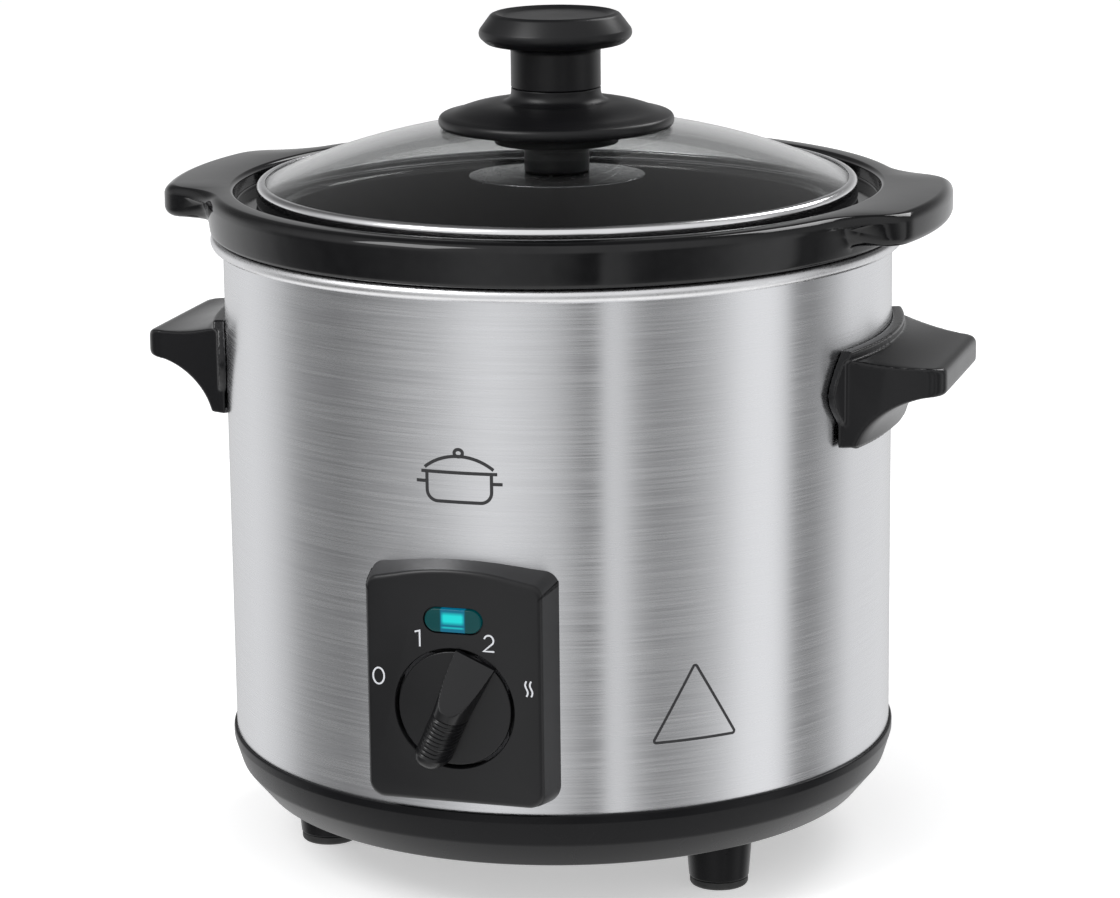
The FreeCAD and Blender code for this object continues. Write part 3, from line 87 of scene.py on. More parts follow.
def rounded(corners, closed=True, step=12):
    """Points along an outline whose corners are (x, y) or (x, y, radius)."""
    points = []
    count = len(corners)
    for index, corner in enumerate(corners):
        here = Vector(corner[:2])
        radius = corner[2] if len(corner) > 2 else 0
        at_end = not closed and index in (0, count - 1)
        if radius == 0 or at_end:
            points.append(here)
            continue
        back = (Vector(corners[index - 1][:2]) - here).normalized()
        ahead = (Vector(corners[(index + 1) % count][:2]) - here).normalized()
        half = back.angle(ahead) / 2
        reach = radius / math.tan(half)
        middle = here + (back + ahead).normalized() * (radius / math.sin(half))
        start = here + back * reach - middle
        turn = math.pi - half * 2
        if start.cross(here + ahead * reach - middle) < 0:
            turn = -turn
        steps = max(2, math.ceil(abs(math.degrees(turn)) / step))
        for number in range(steps + 1):
            spin = Matrix.Rotation(turn * number / steps, 2)
            points.append(middle + spin @ start)
    return points


def arc(start, end, height, steps=24):
    """Points from start to end on an arc that stands height off the chord, left if positive."""
    a, b = Vector(start), Vector(end)
    chord = (b - a).length
    radius = (chord * chord / 4 + height * height) / (2 * abs(height))
    side = Vector((-(b - a).y, (b - a).x)).normalized() * math.copysign(1, height)
    middle = (a + b) / 2 + side * (abs(height) - radius)
    first = a - middle
    turn = -math.copysign(2 * math.asin(min(1, chord / 2 / radius)), height)
    return [middle + Matrix.Rotation(turn * n / steps, 2) @ first for n in range(steps + 1)]


def pill(half_width, half_height, x=0, z=0):
    straight = half_width - half_height
    points = []
    for number in range(49):
        angle = TURN * number / 48 - math.pi / 2
        side = straight if number <= 24 else -straight
        points.append(Vector((x + side + half_height * math.cos(angle),
                              z + half_height * math.sin(angle))))
    points.append(Vector((x - straight, z - half_height)))
    return points[:-2] + points[-1:]


# ---- meshes -------------------------------------------------------------------------------

def piece(name, vertices, faces, sharp=35):
    """A mesh object from points in millimetres, smooth but for its sharp edges."""
    mesh = bpy.data.meshes.new(name)
    mesh.from_pydata([Vector(v) * MM for v in vertices], [], faces)
    edit = bmesh.new()
    edit.from_mesh(mesh)
    bmesh.ops.remove_doubles(edit, verts=edit.verts, dist=1e-7)
    bmesh.ops.recalc_face_normals(edit, faces=edit.faces)
    edit.to_mesh(mesh)
    edit.free()
    mesh.shade_smooth()
    mesh.set_sharp_from_angle(angle=math.radians(sharp))
    thing = bpy.data.objects.new(name, mesh)
    bpy.context.scene.collection.objects.link(thing)
    return thing


def grid_faces(rows, columns, wrap_rows=False, wrap_columns=False):
    faces = []
    for row in range(rows if wrap_rows else rows - 1):
        for column in range(columns if wrap_columns else columns - 1):
            next_row = (row + 1) % rows
            next_column = (column + 1) % columns
            faces.append((row * columns + column, row * columns + next_column,
                          next_row * columns + next_column, next_row * columns + column))
    return faces


def end_faces(count, total):
    """Flat faces over the first and the last of several equal rings."""
    return [tuple(range(count)), tuple(range(total - count, total))]


def turned(name, profile, centre=(0, 0), segments=SEGMENTS, closed=True, sharp=35):
    """A profile of (radius, height) points turned about an upright line."""
    vertices = []
    for number in range(segments):
        angle = TURN * number / segments
        for radius, height in profile:
            vertices.append((centre[0] + radius * math.cos(angle),
                             centre[1] + radius * math.sin(angle), height))
    faces = grid_faces(segments, len(profile), wrap_rows=True, wrap_columns=closed)
    return piece(name, vertices, faces, sharp)


def prism(name, outline, front, back, rim=0.0, sharp=35):
    """An outline in X and Z as a block from front to back along -Y, its front edge eased by rim."""
    middle = sum(outline, Vector((0, 0))) / len(outline)
    rings = [(0, back), (0, front - rim)]
    if rim:
        for number in range(1, 5):
            angle = math.pi / 8 * number
            rings.append((rim * (1 - math.cos(angle)), front - rim * (1 - math.sin(angle))))
    vertices = []
    for inset, depth in rings:
        for point in outline:
            inward = (middle - point).normalized() * inset
            vertices.append((point.x + inward.x, -depth, point.y + inward.y))
    count = len(outline)
    faces = grid_faces(len(rings), count, wrap_columns=True) + end_faces(count, len(vertices))
    return piece(name, vertices, faces, sharp)


def apply_modifiers(thing):
    bpy.context.view_layer.update()
    finished = thing.evaluated_get(bpy.context.evaluated_depsgraph_get())
    mesh = bpy.data.meshes.new_from_object(finished)
    thing.modifiers.clear()
    thing.data = mesh
    return thing


def cut(thing, *tools, sharp=35):
    """The object less its tools, which are then removed."""
    for tool in tools:
        boolean = thing.modifiers.new("cut", "BOOLEAN")
        boolean.operation = "DIFFERENCE"
        boolean.solver = "EXACT"
        boolean.object = tool
        apply_modifiers(thing)
        bpy.data.objects.remove(tool)
    thing.data.shade_smooth()
    thing.data.set_sharp_from_angle(angle=math.radians(sharp))
    return thing


def soften(thing, voxel, smoothing):
    """Overlapping blocks become one moulding with eased edges."""
    remesh = thing.modifiers.new("remesh", "REMESH")
    remesh.mode = "VOXEL"
    remesh.voxel_size = voxel * MM
    smooth = thing.modifiers.new("smooth", "SMOOTH")
    smooth.factor = 0.5
    smooth.iterations = smoothing
    apply_modifiers(thing)
    thing.data.shade_smooth()


def joined(name, things):
    """Several meshes as one object."""
    mesh = bpy.data.meshes.new(name)
    edit = bmesh.new()
    for thing in things:
        edit.from_mesh(thing.data)
        bpy.data.objects.remove(thing)
    edit.to_mesh(mesh)
    edit.free()
    mesh.shade_smooth()
    mesh.set_sharp_from_angle(angle=math.radians(35))
    whole = bpy.data.objects.new(name, mesh)
    bpy.context.scene.collection.objects.link(whole)
    return whole


# ---- materials ----------------------------------------------------------------------------

PANEL_CROWN = 2.6  # how far the panel seems to bow, per square metre off its middle
BLACK = (0.0045, 0.0045, 0.0052)


def plug(tree, value, socket):
    """Links a socket to another, or sets its number or colour."""
    if isinstance(value, bpy.types.NodeSocket):
        tree.links.new(value, socket)
    else:
        socket.default_value = value


def maths(tree, operation, *values):
    """A math node on sockets or numbers."""
    node = tree.nodes.new("ShaderNodeMath")
    node.operation = operation
    for value, socket in zip(values, node.inputs):
        plug(tree, value, socket)
    return node.outputs["Value"]


def mixed(tree, factor, first, second):
    """A colour between two, by a factor from 0 to 1."""
    mix = tree.nodes.new("ShaderNodeMix")
    mix.data_type = "RGBA"
    plug(tree, first, mix.inputs["A"])
    plug(tree, second, mix.inputs["B"])
    plug(tree, factor, mix.inputs["Factor"])
    return mix.outputs["Result"]


class Shade:
    """A node material in object coordinates, in metres."""

    def __init__(self, name, colour, roughness, metallic=0.0, **inputs):
        self.material = bpy.data.materials.new(name)
        self.material.use_nodes = True
        self.tree = self.material.node_tree
        self.nodes = self.material.node_tree.nodes
        self.links = self.material.node_tree.links
        self.shader = self.nodes["Principled BSDF"]
        self.shader.inputs["Base Color"].default_value = (*colour, 1)
        self.shader.inputs["Roughness"].default_value = roughness
        self.shader.inputs["Metallic"].default_value = metallic
        for key, value in inputs.items():
            self.shader.inputs[key.replace("_", " ")].default_value = value
        self.place = self.nodes.new("ShaderNodeTexCoord").outputs["Object"]
        self.height = None

    def noise(self, scale, stretch=(1, 1, 1), detail=3.0, roughness=0.5):
        mapping = self.nodes.new("ShaderNodeMapping")
        mapping.inputs["Scale"].default_value = stretch
        self.links.new(self.place, mapping.inputs["Vector"])
        noise = self.nodes.new("ShaderNodeTexNoise")
        noise.inputs["Scale"].default_value = scale
        noise.inputs["Detail"].default_value = detail
        noise.inputs["Roughness"].default_value = roughness
        self.links.new(mapping.outputs["Vector"], noise.inputs["Vector"])
        return noise.outputs["Fac"]

    def spread(self, source, least, most, start=0.3, end=0.7):
        span = self.nodes.new("ShaderNodeMapRange")
        span.inputs["From Min"].default_value = start
        span.inputs["From Max"].default_value = end
        span.inputs["To Min"].default_value = least
        span.inputs["To Max"].default_value = most
        self.links.new(source, span.inputs["Value"])
        return span.outputs["Result"]

    def roughen(self, source, least, most):
        self.links.new(self.spread(source, least, most), self.shader.inputs["Roughness"])

    def tint(self, source, first, second, start=0.3, end=0.7):
        share = self.spread(source, 0, 1, start, end)
        colour = mixed(self.tree, share, (*first, 1), (*second, 1))
        self.links.new(colour, self.shader.inputs["Base Color"])

    def bump(self, source, strength, distance):
        bump = self.nodes.new("ShaderNodeBump")
        bump.inputs["Strength"].default_value = strength
        bump.inputs["Distance"].default_value = distance
        self.links.new(source, bump.inputs["Height"])
        if self.height is not None:
            self.links.new(self.height, bump.inputs["Normal"])
        self.height = bump.outputs["Normal"]
        self.links.new(self.height, self.shader.inputs["Normal"])


def brushed_steel():
    shade = Shade("brushed_steel", (0.74, 0.745, 0.76), 0.24, 1.0, Anisotropic=0.75)
    upright = shade.nodes.new("ShaderNodeCombineXYZ")
    upright.inputs["Z"].default_value = 1.0
    shade.links.new(upright.outputs["Vector"], shade.shader.inputs["Tangent"])
    fine = shade.noise(1.0, (30, 30, 2600), 4.0, 0.6)
    shade.roughen(fine, 0.20, 0.30)
    shade.tint(fine, (0.71, 0.715, 0.73), (0.77, 0.775, 0.79))
    shade.bump(fine, 0.015, 0.00004)
    return shade.material


def polished(name, roughness, first=(0.78, 0.78, 0.79), second=(0.83, 0.83, 0.84)):
    """Polished metal with faint wipe marks."""
    shade = Shade(name, (0.80, 0.80, 0.81), roughness, 1.0)
    fine = shade.noise(900, (1, 1, 6))
    shade.roughen(fine, roughness * 0.8, roughness * 1.4)
    shade.tint(shade.noise(60), first, second)
    shade.bump(fine, 0.04, 0.00002)
    return shade.material


def dark_steel():
    """The disc seen through the glass under the knob; its steel is darkened, painted shade for the dark it
    reflects there.
    """
    shade = Shade("dark_steel", (0.16, 0.16, 0.165), 0.2, 1.0)
    shade.roughen(shade.noise(400), 0.15, 0.28)
    return shade.material


def ink(name, colour, roughness):
    shade = Shade(name, colour, roughness)
    shade.bump(shade.noise(1200), 0.1, 0.00003)
    return shade.material


def liner_steel():
    shade = Shade("liner_steel", (0.66, 0.66, 0.65), 0.34, 1.0)
    fine = shade.noise(1.0, (60, 60, 900))
    shade.roughen(fine, 0.28, 0.42)
    shade.tint(shade.noise(45, detail=5.0), (0.60, 0.60, 0.59), (0.71, 0.71, 0.70))
    shade.bump(shade.noise(700), 0.08, 0.00004)
    return shade.material


def plated_steel():
    shade = Shade("plated_steel", (0.62, 0.62, 0.60), 0.30, 1.0)
    shade.tint(shade.noise(180), (0.56, 0.56, 0.53), (0.68, 0.68, 0.67))
    shade.roughen(shade.noise(420), 0.24, 0.40)
    shade.bump(shade.noise(1500), 0.10, 0.00003)
    return shade.material


def moulded(name, colour, roughness, grain=2600, depth=0.00003, wear=0.35, gloss=0.3):
    """Moulded plastic with a fine spark-eroded grain and faint flow marks."""
    shade = Shade(name, colour, roughness, Specular_IOR_Level=gloss)
    grained = shade.noise(grain, detail=2.0)
    cloudy = shade.noise(40, detail=4.0)
    lighter = tuple(c * (1 + wear) for c in colour)
    shade.tint(cloudy, colour, lighter)
    shade.roughen(cloudy, roughness * 0.9, roughness * 1.15)
    shade.bump(grained, 0.22, depth)
    return shade.material


def crowned_plastic():
    """The panel's plastic, shaded as a face that bows a little outward across its width."""
    material = moulded("panel_plastic", BLACK, 0.32, gloss=0.42)
    tree = material.node_tree
    axes = tree.nodes.new("ShaderNodeSeparateXYZ")
    plug(tree, tree.nodes.new("ShaderNodeTexCoord").outputs["Object"], axes.inputs["Vector"])
    square = maths(tree, "MULTIPLY", axes.outputs["X"], axes.outputs["X"])
    bow = tree.nodes.new("ShaderNodeBump")
    bow.inputs["Distance"].default_value = 1.0
    plug(tree, maths(tree, "MULTIPLY", square, -PANEL_CROWN), bow.inputs["Height"])
    plug(tree, bow.outputs["Normal"], tree.nodes["Bump"].inputs["Normal"])
    return material


def glaze():
    shade = Shade("black_glaze", (0.002, 0.002, 0.0025), 0.07, Specular_IOR_Level=0.42)
    shade.roughen(shade.noise(90, detail=4.0), 0.05, 0.10)
    shade.tint(shade.noise(260, detail=5.0), (0.0015, 0.0015, 0.002), (0.004, 0.004, 0.0045))
    shade.bump(shade.noise(160, detail=1.0), 0.05, 0.00020)
    shade.bump(shade.noise(2200), 0.03, 0.00002)
    return shade.material


def clear_glass():
    shade = Shade("clear_glass", (0.985, 0.995, 0.992), 0.0, Transmission_Weight=1.0, IOR=1.5)
    shade.roughen(shade.noise(120, detail=5.0), 0.0, 0.012)
    shade.bump(shade.noise(25, detail=1.0), 0.01, 0.00005)
    return shade.material


def rubber(name, colour, roughness=0.6):
    shade = Shade(name, colour, roughness)
    shade.tint(shade.noise(220, detail=5.0), colour, tuple(c * 1.5 for c in colour))
    shade.roughen(shade.noise(500), roughness * 0.85, roughness * 1.15)
    shade.bump(shade.noise(1800), 0.25, 0.00005)
    return shade.material


def woven(name, colour):
    shade = Shade(name, colour, 0.85)
    wave = shade.nodes.new("ShaderNodeTexWave")
    wave.inputs["Scale"].default_value = 420
    wave.inputs["Distortion"].default_value = 1.2
    wave.bands_direction = "DIAGONAL"
    shade.links.new(shade.place, wave.inputs["Vector"])
    shade.tint(wave.outputs["Fac"], tuple(c * 0.75 for c in colour), colour, 0, 1)
    shade.roughen(shade.noise(300), 0.75, 0.95)
    shade.bump(wave.outputs["Fac"], 0.5, 0.0002)
    return shade.material


def lit_lens():
    """Teal window, the light of the lamp behind it painted on as glow in a block across its middle."""
    shade = Shade("teal_lens", (0.001, 0.022, 0.020), 0.12, Specular_IOR_Level=0.25)
    shade.shader.inputs["Emission Strength"].default_value = 1.0
    axes = shade.nodes.new("ShaderNodeSeparateXYZ")
    shade.links.new(shade.place, axes.inputs["Vector"])
    centre = LENS_HEIGHT * MM

    def window(axis, middle, half, soft):
        away = maths(shade.tree, "SUBTRACT", axes.outputs[axis], middle)
        return shade.spread(maths(shade.tree, "ABSOLUTE", away), 1, 0, half - soft, half + soft)

    def product(one, other):
        return maths(shade.tree, "MULTIPLY", one, other)

    def total(one, other):
        return maths(shade.tree, "ADD", one, other)

    # painted glow: a dim teal over the window, a brighter core and a thin bright line, all emission
    block = window("X", 0, 0.0034, 0.0002)
    core = product(window("X", 0, 0.0029, 0.0005), window("Z", centre + 0.0006, 0.0013, 0.0006))
    line = product(window("X", 0, 0.0030, 0.0005), window("Z", centre - 0.0019, 0.0001, 0.0003))
    dim = shade.spread(block, 0.02, 0.26, 0, 1)
    bright = total(dim, product(total(core, line), shade.spread(block, 0, 0.8, 0, 1)))
    ramp = shade.nodes.new("ShaderNodeValToRGB")
    ramp.color_ramp.elements[0].position = 0.0
    ramp.color_ramp.elements[0].color = (0.0, 0.022, 0.020, 1)
    ramp.color_ramp.elements[1].position = 1.0
    ramp.color_ramp.elements[1].color = (0.01, 0.66, 0.66, 1)
    middle = ramp.color_ramp.elements.new(0.26)
    middle.color = (0.0, 0.12, 0.22, 1)
    shade.links.new(bright, ramp.inputs["Fac"])
    shade.links.new(ramp.outputs["Color"], shade.shader.inputs["Emission Color"])
    shade.bump(shade.noise(900), 0.05, 0.00003)
    return shade.material


def lamp_glass():
    shade = Shade("lamp_glass", (0.2, 0.85, 0.8), 0.2)
    shade.shader.inputs["Emission Color"].default_value = (0.1, 0.9, 0.85, 1)
    shade.shader.inputs["Emission Strength"].default_value = 0.6
    shade.roughen(shade.noise(400), 0.15, 0.3)
    return shade.material


MATERIALS = {
    "shell_steel": brushed_steel(),
    "bright_steel": polished("bright_steel", 0.16),
    "rolled_steel": polished("rolled_steel", 0.30),
    "dark_steel": dark_steel(),
    "liner_steel": liner_steel(),
    "plated_steel": plated_steel(),
    "heater_cloth": woven("heater_cloth", (0.62, 0.58, 0.46)),
    "black_plastic": moulded("black_plastic", BLACK, 0.34),
    "panel_plastic": crowned_plastic(),
    "base_plastic": moulded("base_plastic", BLACK, 0.26, gloss=0.16),
    "handle_plastic": moulded("handle_plastic", BLACK, 0.20, depth=0.00001, gloss=0.4),
    "knob_plastic": moulded("knob_plastic", BLACK, 0.34),
    "black_glaze": glaze(),
    "clear_glass": clear_glass(),
    "black_rubber": rubber("black_rubber", (0.016, 0.016, 0.016)),
    "silicone": rubber("silicone", (0.018, 0.018, 0.019), 0.4),
    "teal_lens": lit_lens(),
    "lamp_glass": lamp_glass(),
    "switch_plastic": moulded("switch_plastic", (0.06, 0.06, 0.065), 0.45),
    "white_plastic": moulded("white_plastic", (0.72, 0.72, 0.69), 0.45, wear=0.08),
    "brass_part": polished("brass_part", 0.25, (0.72, 0.54, 0.24), (0.80, 0.62, 0.30)),
    "lead_white": rubber("lead_white", (0.6, 0.6, 0.57), 0.5),
    "lead_brown": rubber("lead_brown", (0.16, 0.07, 0.035), 0.5),
    "printed_black": ink("printed_black", (0.020, 0.020, 0.022), 0.45),
    "printed_grey": ink("printed_grey", (0.62, 0.63, 0.66), 0.5),
}

for subpart in frame["record"]["subparts"]:
    skin = NODES[subpart["node"]]
    skin.data.materials.clear()
    skin.data.materials.append(MATERIALS[subpart["material_slot"]])


def finish(thing, body, slot, *nodes, look=None):
    """The piece gets its material and body, and stands for the CAD nodes named."""
    thing.data.materials.clear()
    thing.data.materials.append(MATERIALS[look or slot])
    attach(thing, body)
    if nodes:
        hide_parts(*nodes)
    return thing


# ---- steel housing --------------------------------------------------------------------------

def make_shell():
    inner = SHELL_RADIUS - 0.7
    bottom, top = low("outer_shell", "z"), high("outer_shell", "z")
    tube = turned("shell_tube", [(inner, bottom), (SHELL_RADIUS, bottom),
                                 (SHELL_RADIUS, top), (inner, top)])
    seam = turned("shell_seam", rounded([(inner, bottom + 2), (SHELL_RADIUS + 0.5, bottom + 2, 0.3),
                                         (SHELL_RADIUS + 0.5, top - 4, 0.3), (inner, top - 4)]))
    edit = bmesh.new()
    edit.from_mesh(seam.data)
    half = 3.5 * MM
    for side in (-1, 1):
        every = edit.verts[:] + edit.edges[:] + edit.faces[:]
        bmesh.ops.bisect_plane(edit, geom=every, plane_co=(side * half, 0, 0),
                               plane_no=(side, 0, 0), clear_outer=True)
    front = [v for v in edit.verts if v.co.y < 0]
    bmesh.ops.delete(edit, geom=front, context="VERTS")
    edges = [e for e in edit.edges if e.is_boundary]
    bmesh.ops.holes_fill(edit, edges=edges)
    edit.to_mesh(seam.data)
    edit.free()
    seam.data.set_sharp_from_angle(angle=math.radians(35))
    finish(tube, "housing", "shell_steel", "outer_shell")
    finish(seam, "housing", "shell_steel")


def make_liner():
    sheet = 0.6
    wall = 81.5
    bottom, top = low("heating_liner", "z"), high("heating_liner", "z")
    roll = 1.8
    ring = BEAD_RADIUS - roll
    around = [(ring + roll * math.sin(a), top - roll + roll * math.cos(a))
              for a in (math.pi * n / 16 for n in range(17))]
    outline = [Vector((0.0, bottom))]
    outline += rounded([(0, bottom), (wall, bottom, 12), (wall, top - sheet)], closed=False)[1:]
    outline += [Vector((SHELL_RADIUS + 0.2, top - sheet)), Vector((SHELL_RADIUS + 0.2, top - roll * 2))]
    outline += [Vector(p) for p in reversed(around)]
    outline += rounded([(ring, top), (wall - sheet, top, 0.5), (wall - sheet, bottom + sheet, 11.4),
                        (0, bottom + sheet)], closed=False)[1:]
    finish(turned("liner_pan", outline), "housing", "bright_steel", "heating_liner", look="rolled_steel")


def make_base():
    bottom, top = low("base_pan", "z"), high("base_pan", "z")
    wall = 2.4
    band = SHELL_RADIUS - 1.2
    floor_radius = band - 6.8
    lip = SHELL_RADIUS + 0.05
    seat = top - 1.65
    outline = rounded([
        (2.7, bottom), (floor_radius, bottom, 2.0), (band, bottom + 8.2, 3.0),
        (BASE_RADIUS, top - wall, 1.2), (BASE_RADIUS, top, 0.5), (lip, top, 0.25), (lip, seat),
        (SHELL_RADIUS - 3.7, seat), (SHELL_RADIUS - 3.7, seat - wall),
        (band - wall, seat - wall * 2), (band - wall, bottom + 9.4),
        (floor_radius - wall, bottom + wall), (2.7, bottom + wall),
    ])
    tub = turned("base_tub", outline)
    slots = []
    for index in range(5):
        slot = prism("vent_%d" % index, pill(13, 1.5), 5, -30)
        slot.data.transform(Matrix.Rotation(math.pi / 2, 4, "X"))
        slot.data.transform(Matrix.Translation(Vector((0, 8 * (index - 2) - 30.5, bottom)) * MM))
        slots.append(slot)
    finish(cut(tub, *slots), "housing", "black_plastic", "base_pan", look="base_plastic")


def make_feet():
    for place in ("front_right", "front_left", "rear"):
        node = "foot_" + place
        centre = ((low(node, "x") + high(node, "x")) / 2, (low(node, "y") + high(node, "y")) / 2)
        bottom, top = low(node, "z"), high(node, "z")
        wide = (high(node, "x") - low(node, "x")) / 2
        tip = wide - 1.2
        leg = turned("leg_" + place, rounded([
            (1.8, bottom), (tip, bottom, 0.6), (wide, top, 0.0), (1.8, top),
        ]), centre, 72)
        finish(leg, "housing", "black_plastic", node, look="base_plastic")
        pad_node = "foot_pad_" + place
        radius = (high(pad_node, "x") - low(pad_node, "x")) / 2
        sole = turned("sole_" + place, rounded([
            (0.0, 0), (radius, 0, 1.0), (radius, bottom - 0.05, 0.2), (radius - 1.2, bottom - 0.05),
            (radius - 1.2, high(pad_node, "z")), (0.0, high(pad_node, "z")),
        ]), centre, 72)
        finish(sole, "housing", "black_rubber", pad_node)


# ---- crock --------------------------------------------------------------------------------

def lug_radius(angle):
    """Reach of the rim at an angle off a lug's middle: tip, round corner, hollow flank, rim."""
    corner, blend, half = 12.0, 26.0, math.radians(14)
    near_ring, far_ring = LUG_REACH - corner, RIM_RADIUS + blend
    spread = near_ring ** 2 + far_ring ** 2 - (corner + blend) ** 2
    rim_turn = half + math.acos(spread / (2 * near_ring * far_ring))
    corner_at = Vector((math.cos(half), math.sin(half))) * near_ring
    blend_at = Vector((math.cos(rim_turn), math.sin(rim_turn))) * far_ring
    meet = corner_at.lerp(blend_at, corner / (corner + blend))
    angle = abs(angle)
    if angle <= half:
        return LUG_REACH
    if angle >= rim_turn:
        return RIM_RADIUS
    ray = Vector((math.cos(angle), math.sin(angle)))
    tip = angle <= math.atan2(meet.y, meet.x)
    middle, radius = (corner_at, corner) if tip else (blend_at, blend)
    along = ray.dot(middle)
    across = math.sqrt(max(0.0, radius ** 2 - (middle.length_squared - along ** 2)))
    return along + across if tip else along - across


def make_crock():
    bottom, top = low("stoneware_crock", "z"), high("stoneware_crock", "z")
    seat = top - 12.4
    skirt = SHELL_RADIUS + 3.4
    recess = RIM_RADIUS - 8.0
    ledge = low("lid_bezel", "z") - 0.2
    well_top, well_low = 78.5, 76.0
    wall = 5.0
    under = rounded([
        (0, bottom + 1.5), (well_low - 18, bottom + 1.5, 0.5), (well_low - 16.5, bottom, 0.5),
        (well_low, bottom, 13), (well_top, seat, 1.0), (skirt, seat, 1.6), (skirt + 0.35, top - 9.5),
    ], closed=False, step=10)
    steps = 18
    crown = [(RIM_RADIUS - 3 + 3 * math.cos(a), top - 3 + 3 * math.sin(a))
             for a in (math.pi / 2 * n / 10 for n in range(1, 11))]
    inside = rounded([
        (RIM_RADIUS - 3, top), (recess, top, 1.5), (recess, ledge, 0.8),
        (well_top - wall, ledge, 1.8), (well_low - wall, bottom + 6.0, 11.5), (0, bottom + 6.0),
    ], closed=False, step=10)[1:]

    def flank(share, extra):
        """Outside of the rim: a slight flare, or a lug's flat underside and round lower edge."""
        start, tip, edge = skirt + 0.35, RIM_RADIUS + extra, 2.6
        plain = Vector((start + (RIM_RADIUS - start) * share, top - 9.5 + 6.5 * share))
        if share < 0.6:
            lug = Vector((start + (tip - edge - start) * share / 0.6, top - 9.5 + share))
        else:
            turn = (share - 0.6) / 0.4 * math.pi / 2
            lug = Vector((tip - edge + edge * math.sin(turn), top - 8.9 + edge - edge * math.cos(turn)))
        blend = min(1.0, extra / 12)
        return tuple(plain.lerp(lug, blend * blend * (3 - 2 * blend)))

    def shape(angle):
        """Profile at one angle, its outer edge drawn out over the lug."""
        off = abs((angle + math.pi / 2) % math.pi - math.pi / 2)
        extra = lug_radius(off) - RIM_RADIUS
        points = [(p.x, p.y) for p in under]
        points += [flank(number / steps, extra) for number in range(1, steps + 1)]
        points += [(radius + extra, height) for radius, height in crown]
        points += [(p.x, p.y) for p in inside]
        return points

    count = 576
    vertices = []
    for number in range(count):
        angle = TURN * number / count
        vertices += [(r * math.cos(angle), r * math.sin(angle), z) for r, z in shape(angle)]
    faces = grid_faces(count, len(vertices) // count, wrap_rows=True)
    finish(piece("crock_bowl", vertices, faces, 50), "crock", "black_glaze", "stoneware_crock")


# ---- lid ------------------------------------------------------------------------------------

def dome(sphere, apex, radius):
    """Height of the glass at a distance off its middle."""
    return apex - sphere + math.sqrt(sphere ** 2 - radius ** 2)


def make_lid():
    apex = high("lid_glass", "z")
    outer, inner = GLASS_SPHERE, GLASS_SPHERE - 4.0
    hole, edge = KNOB_HOLE, GLASS_RADIUS
    steps = 28
    reach = [hole + (edge - hole) * n / steps for n in range(steps + 1)]
    outline = [Vector((r, dome(inner, apex - 4, r))) for r in reach]
    outline += [Vector((r, dome(outer, apex, r))) for r in reversed(reach)]
    finish(turned("glass_dome", outline), "lid", "clear_glass", "lid_glass")
    bottom, top = low("lid_bezel", "z"), high("lid_bezel", "z")
    lip = BEZEL_RADIUS - 2.5
    ring = rounded([
        (lip, bottom), (BEZEL_RADIUS, bottom, 1.0), (BEZEL_RADIUS, top, 1.7), (lip, top, 0.2),
        (lip, top - 0.5), (BEZEL_RADIUS - 0.5, top - 0.5, 1.2), (BEZEL_RADIUS - 0.5, bottom + 0.5, 0.5),
        (lip, bottom + 0.5),
    ])
    finish(turned("bezel_ring", ring), "lid", "bright_steel", "lid_bezel")
    make_knob(apex)
    make_underside()


def make_knob(apex):
    gap = 0.05
    rest = apex + gap
    edge = FLANGE_RADIUS - 1.3
    edge_low = dome(GLASS_SPHERE + gap, rest, edge)
    edge_top = edge_low + 3.4
    crown = edge_low + 7.0
    neck = KNOB_NECK
    seam = apex + 8.55
    hole = KNOB_HOLE
    under = [Vector((r, dome(GLASS_SPHERE + gap, rest, r))) for r in (hole, 8, 16, 24, edge - 0.8)]
    rim = [Vector((edge + 1.3 * math.cos(a), (edge_low + edge_top) / 2 + 1.7 * math.sin(a)))
           for a in (math.pi * (n / 10 - 0.5) for n in range(1, 10))]
    slope = [Vector((edge - 1.5, edge_top + 0.35))]
    slope += arc((edge - 3, edge_top + 0.8), (neck + 3, crown), -0.7, 16)
    shoulder = [Vector((neck + 3 - 3 * math.sin(a), crown + 3 - 3 * math.cos(a)))
                for a in (math.pi / 2 * n / 8 for n in range(1, 9))]
    outline = under + rim + slope + shoulder[:-1] + rounded([
        (neck, crown + 3), (neck, seam, 0.35), (hole, seam), (hole, rest),
    ], closed=False)[:-1]
    finish(turned("knob_flange", outline, segments=192), "lid", "knob_plastic", "knob_base")
    top = high("knob_cap", "z")
    start = apex + 8.65
    underside = apex + 19.4
    widest = apex + 23.8
    grip = rounded([
        (0, start + 9), (2.05, start + 9), (2.05, start), (neck, start, 0.35),
        (neck, underside + 0.5, 1.6), (CAP_RADIUS - 2.4, underside + 1.6, 2.2),
        (CAP_RADIUS, widest - 0.6, 2.0), (CAP_RADIUS - 0.5, widest + 1.2, 1.2),
        (18.3, top - 0.5, 1.4), (17.0, top, 0.8), (14.6, top - 0.9, 2.5), (0, top - 0.5),
    ], closed=False, step=8)
    finish(turned("knob_grip", grip, segments=192), "lid", "knob_plastic", "knob_cap")


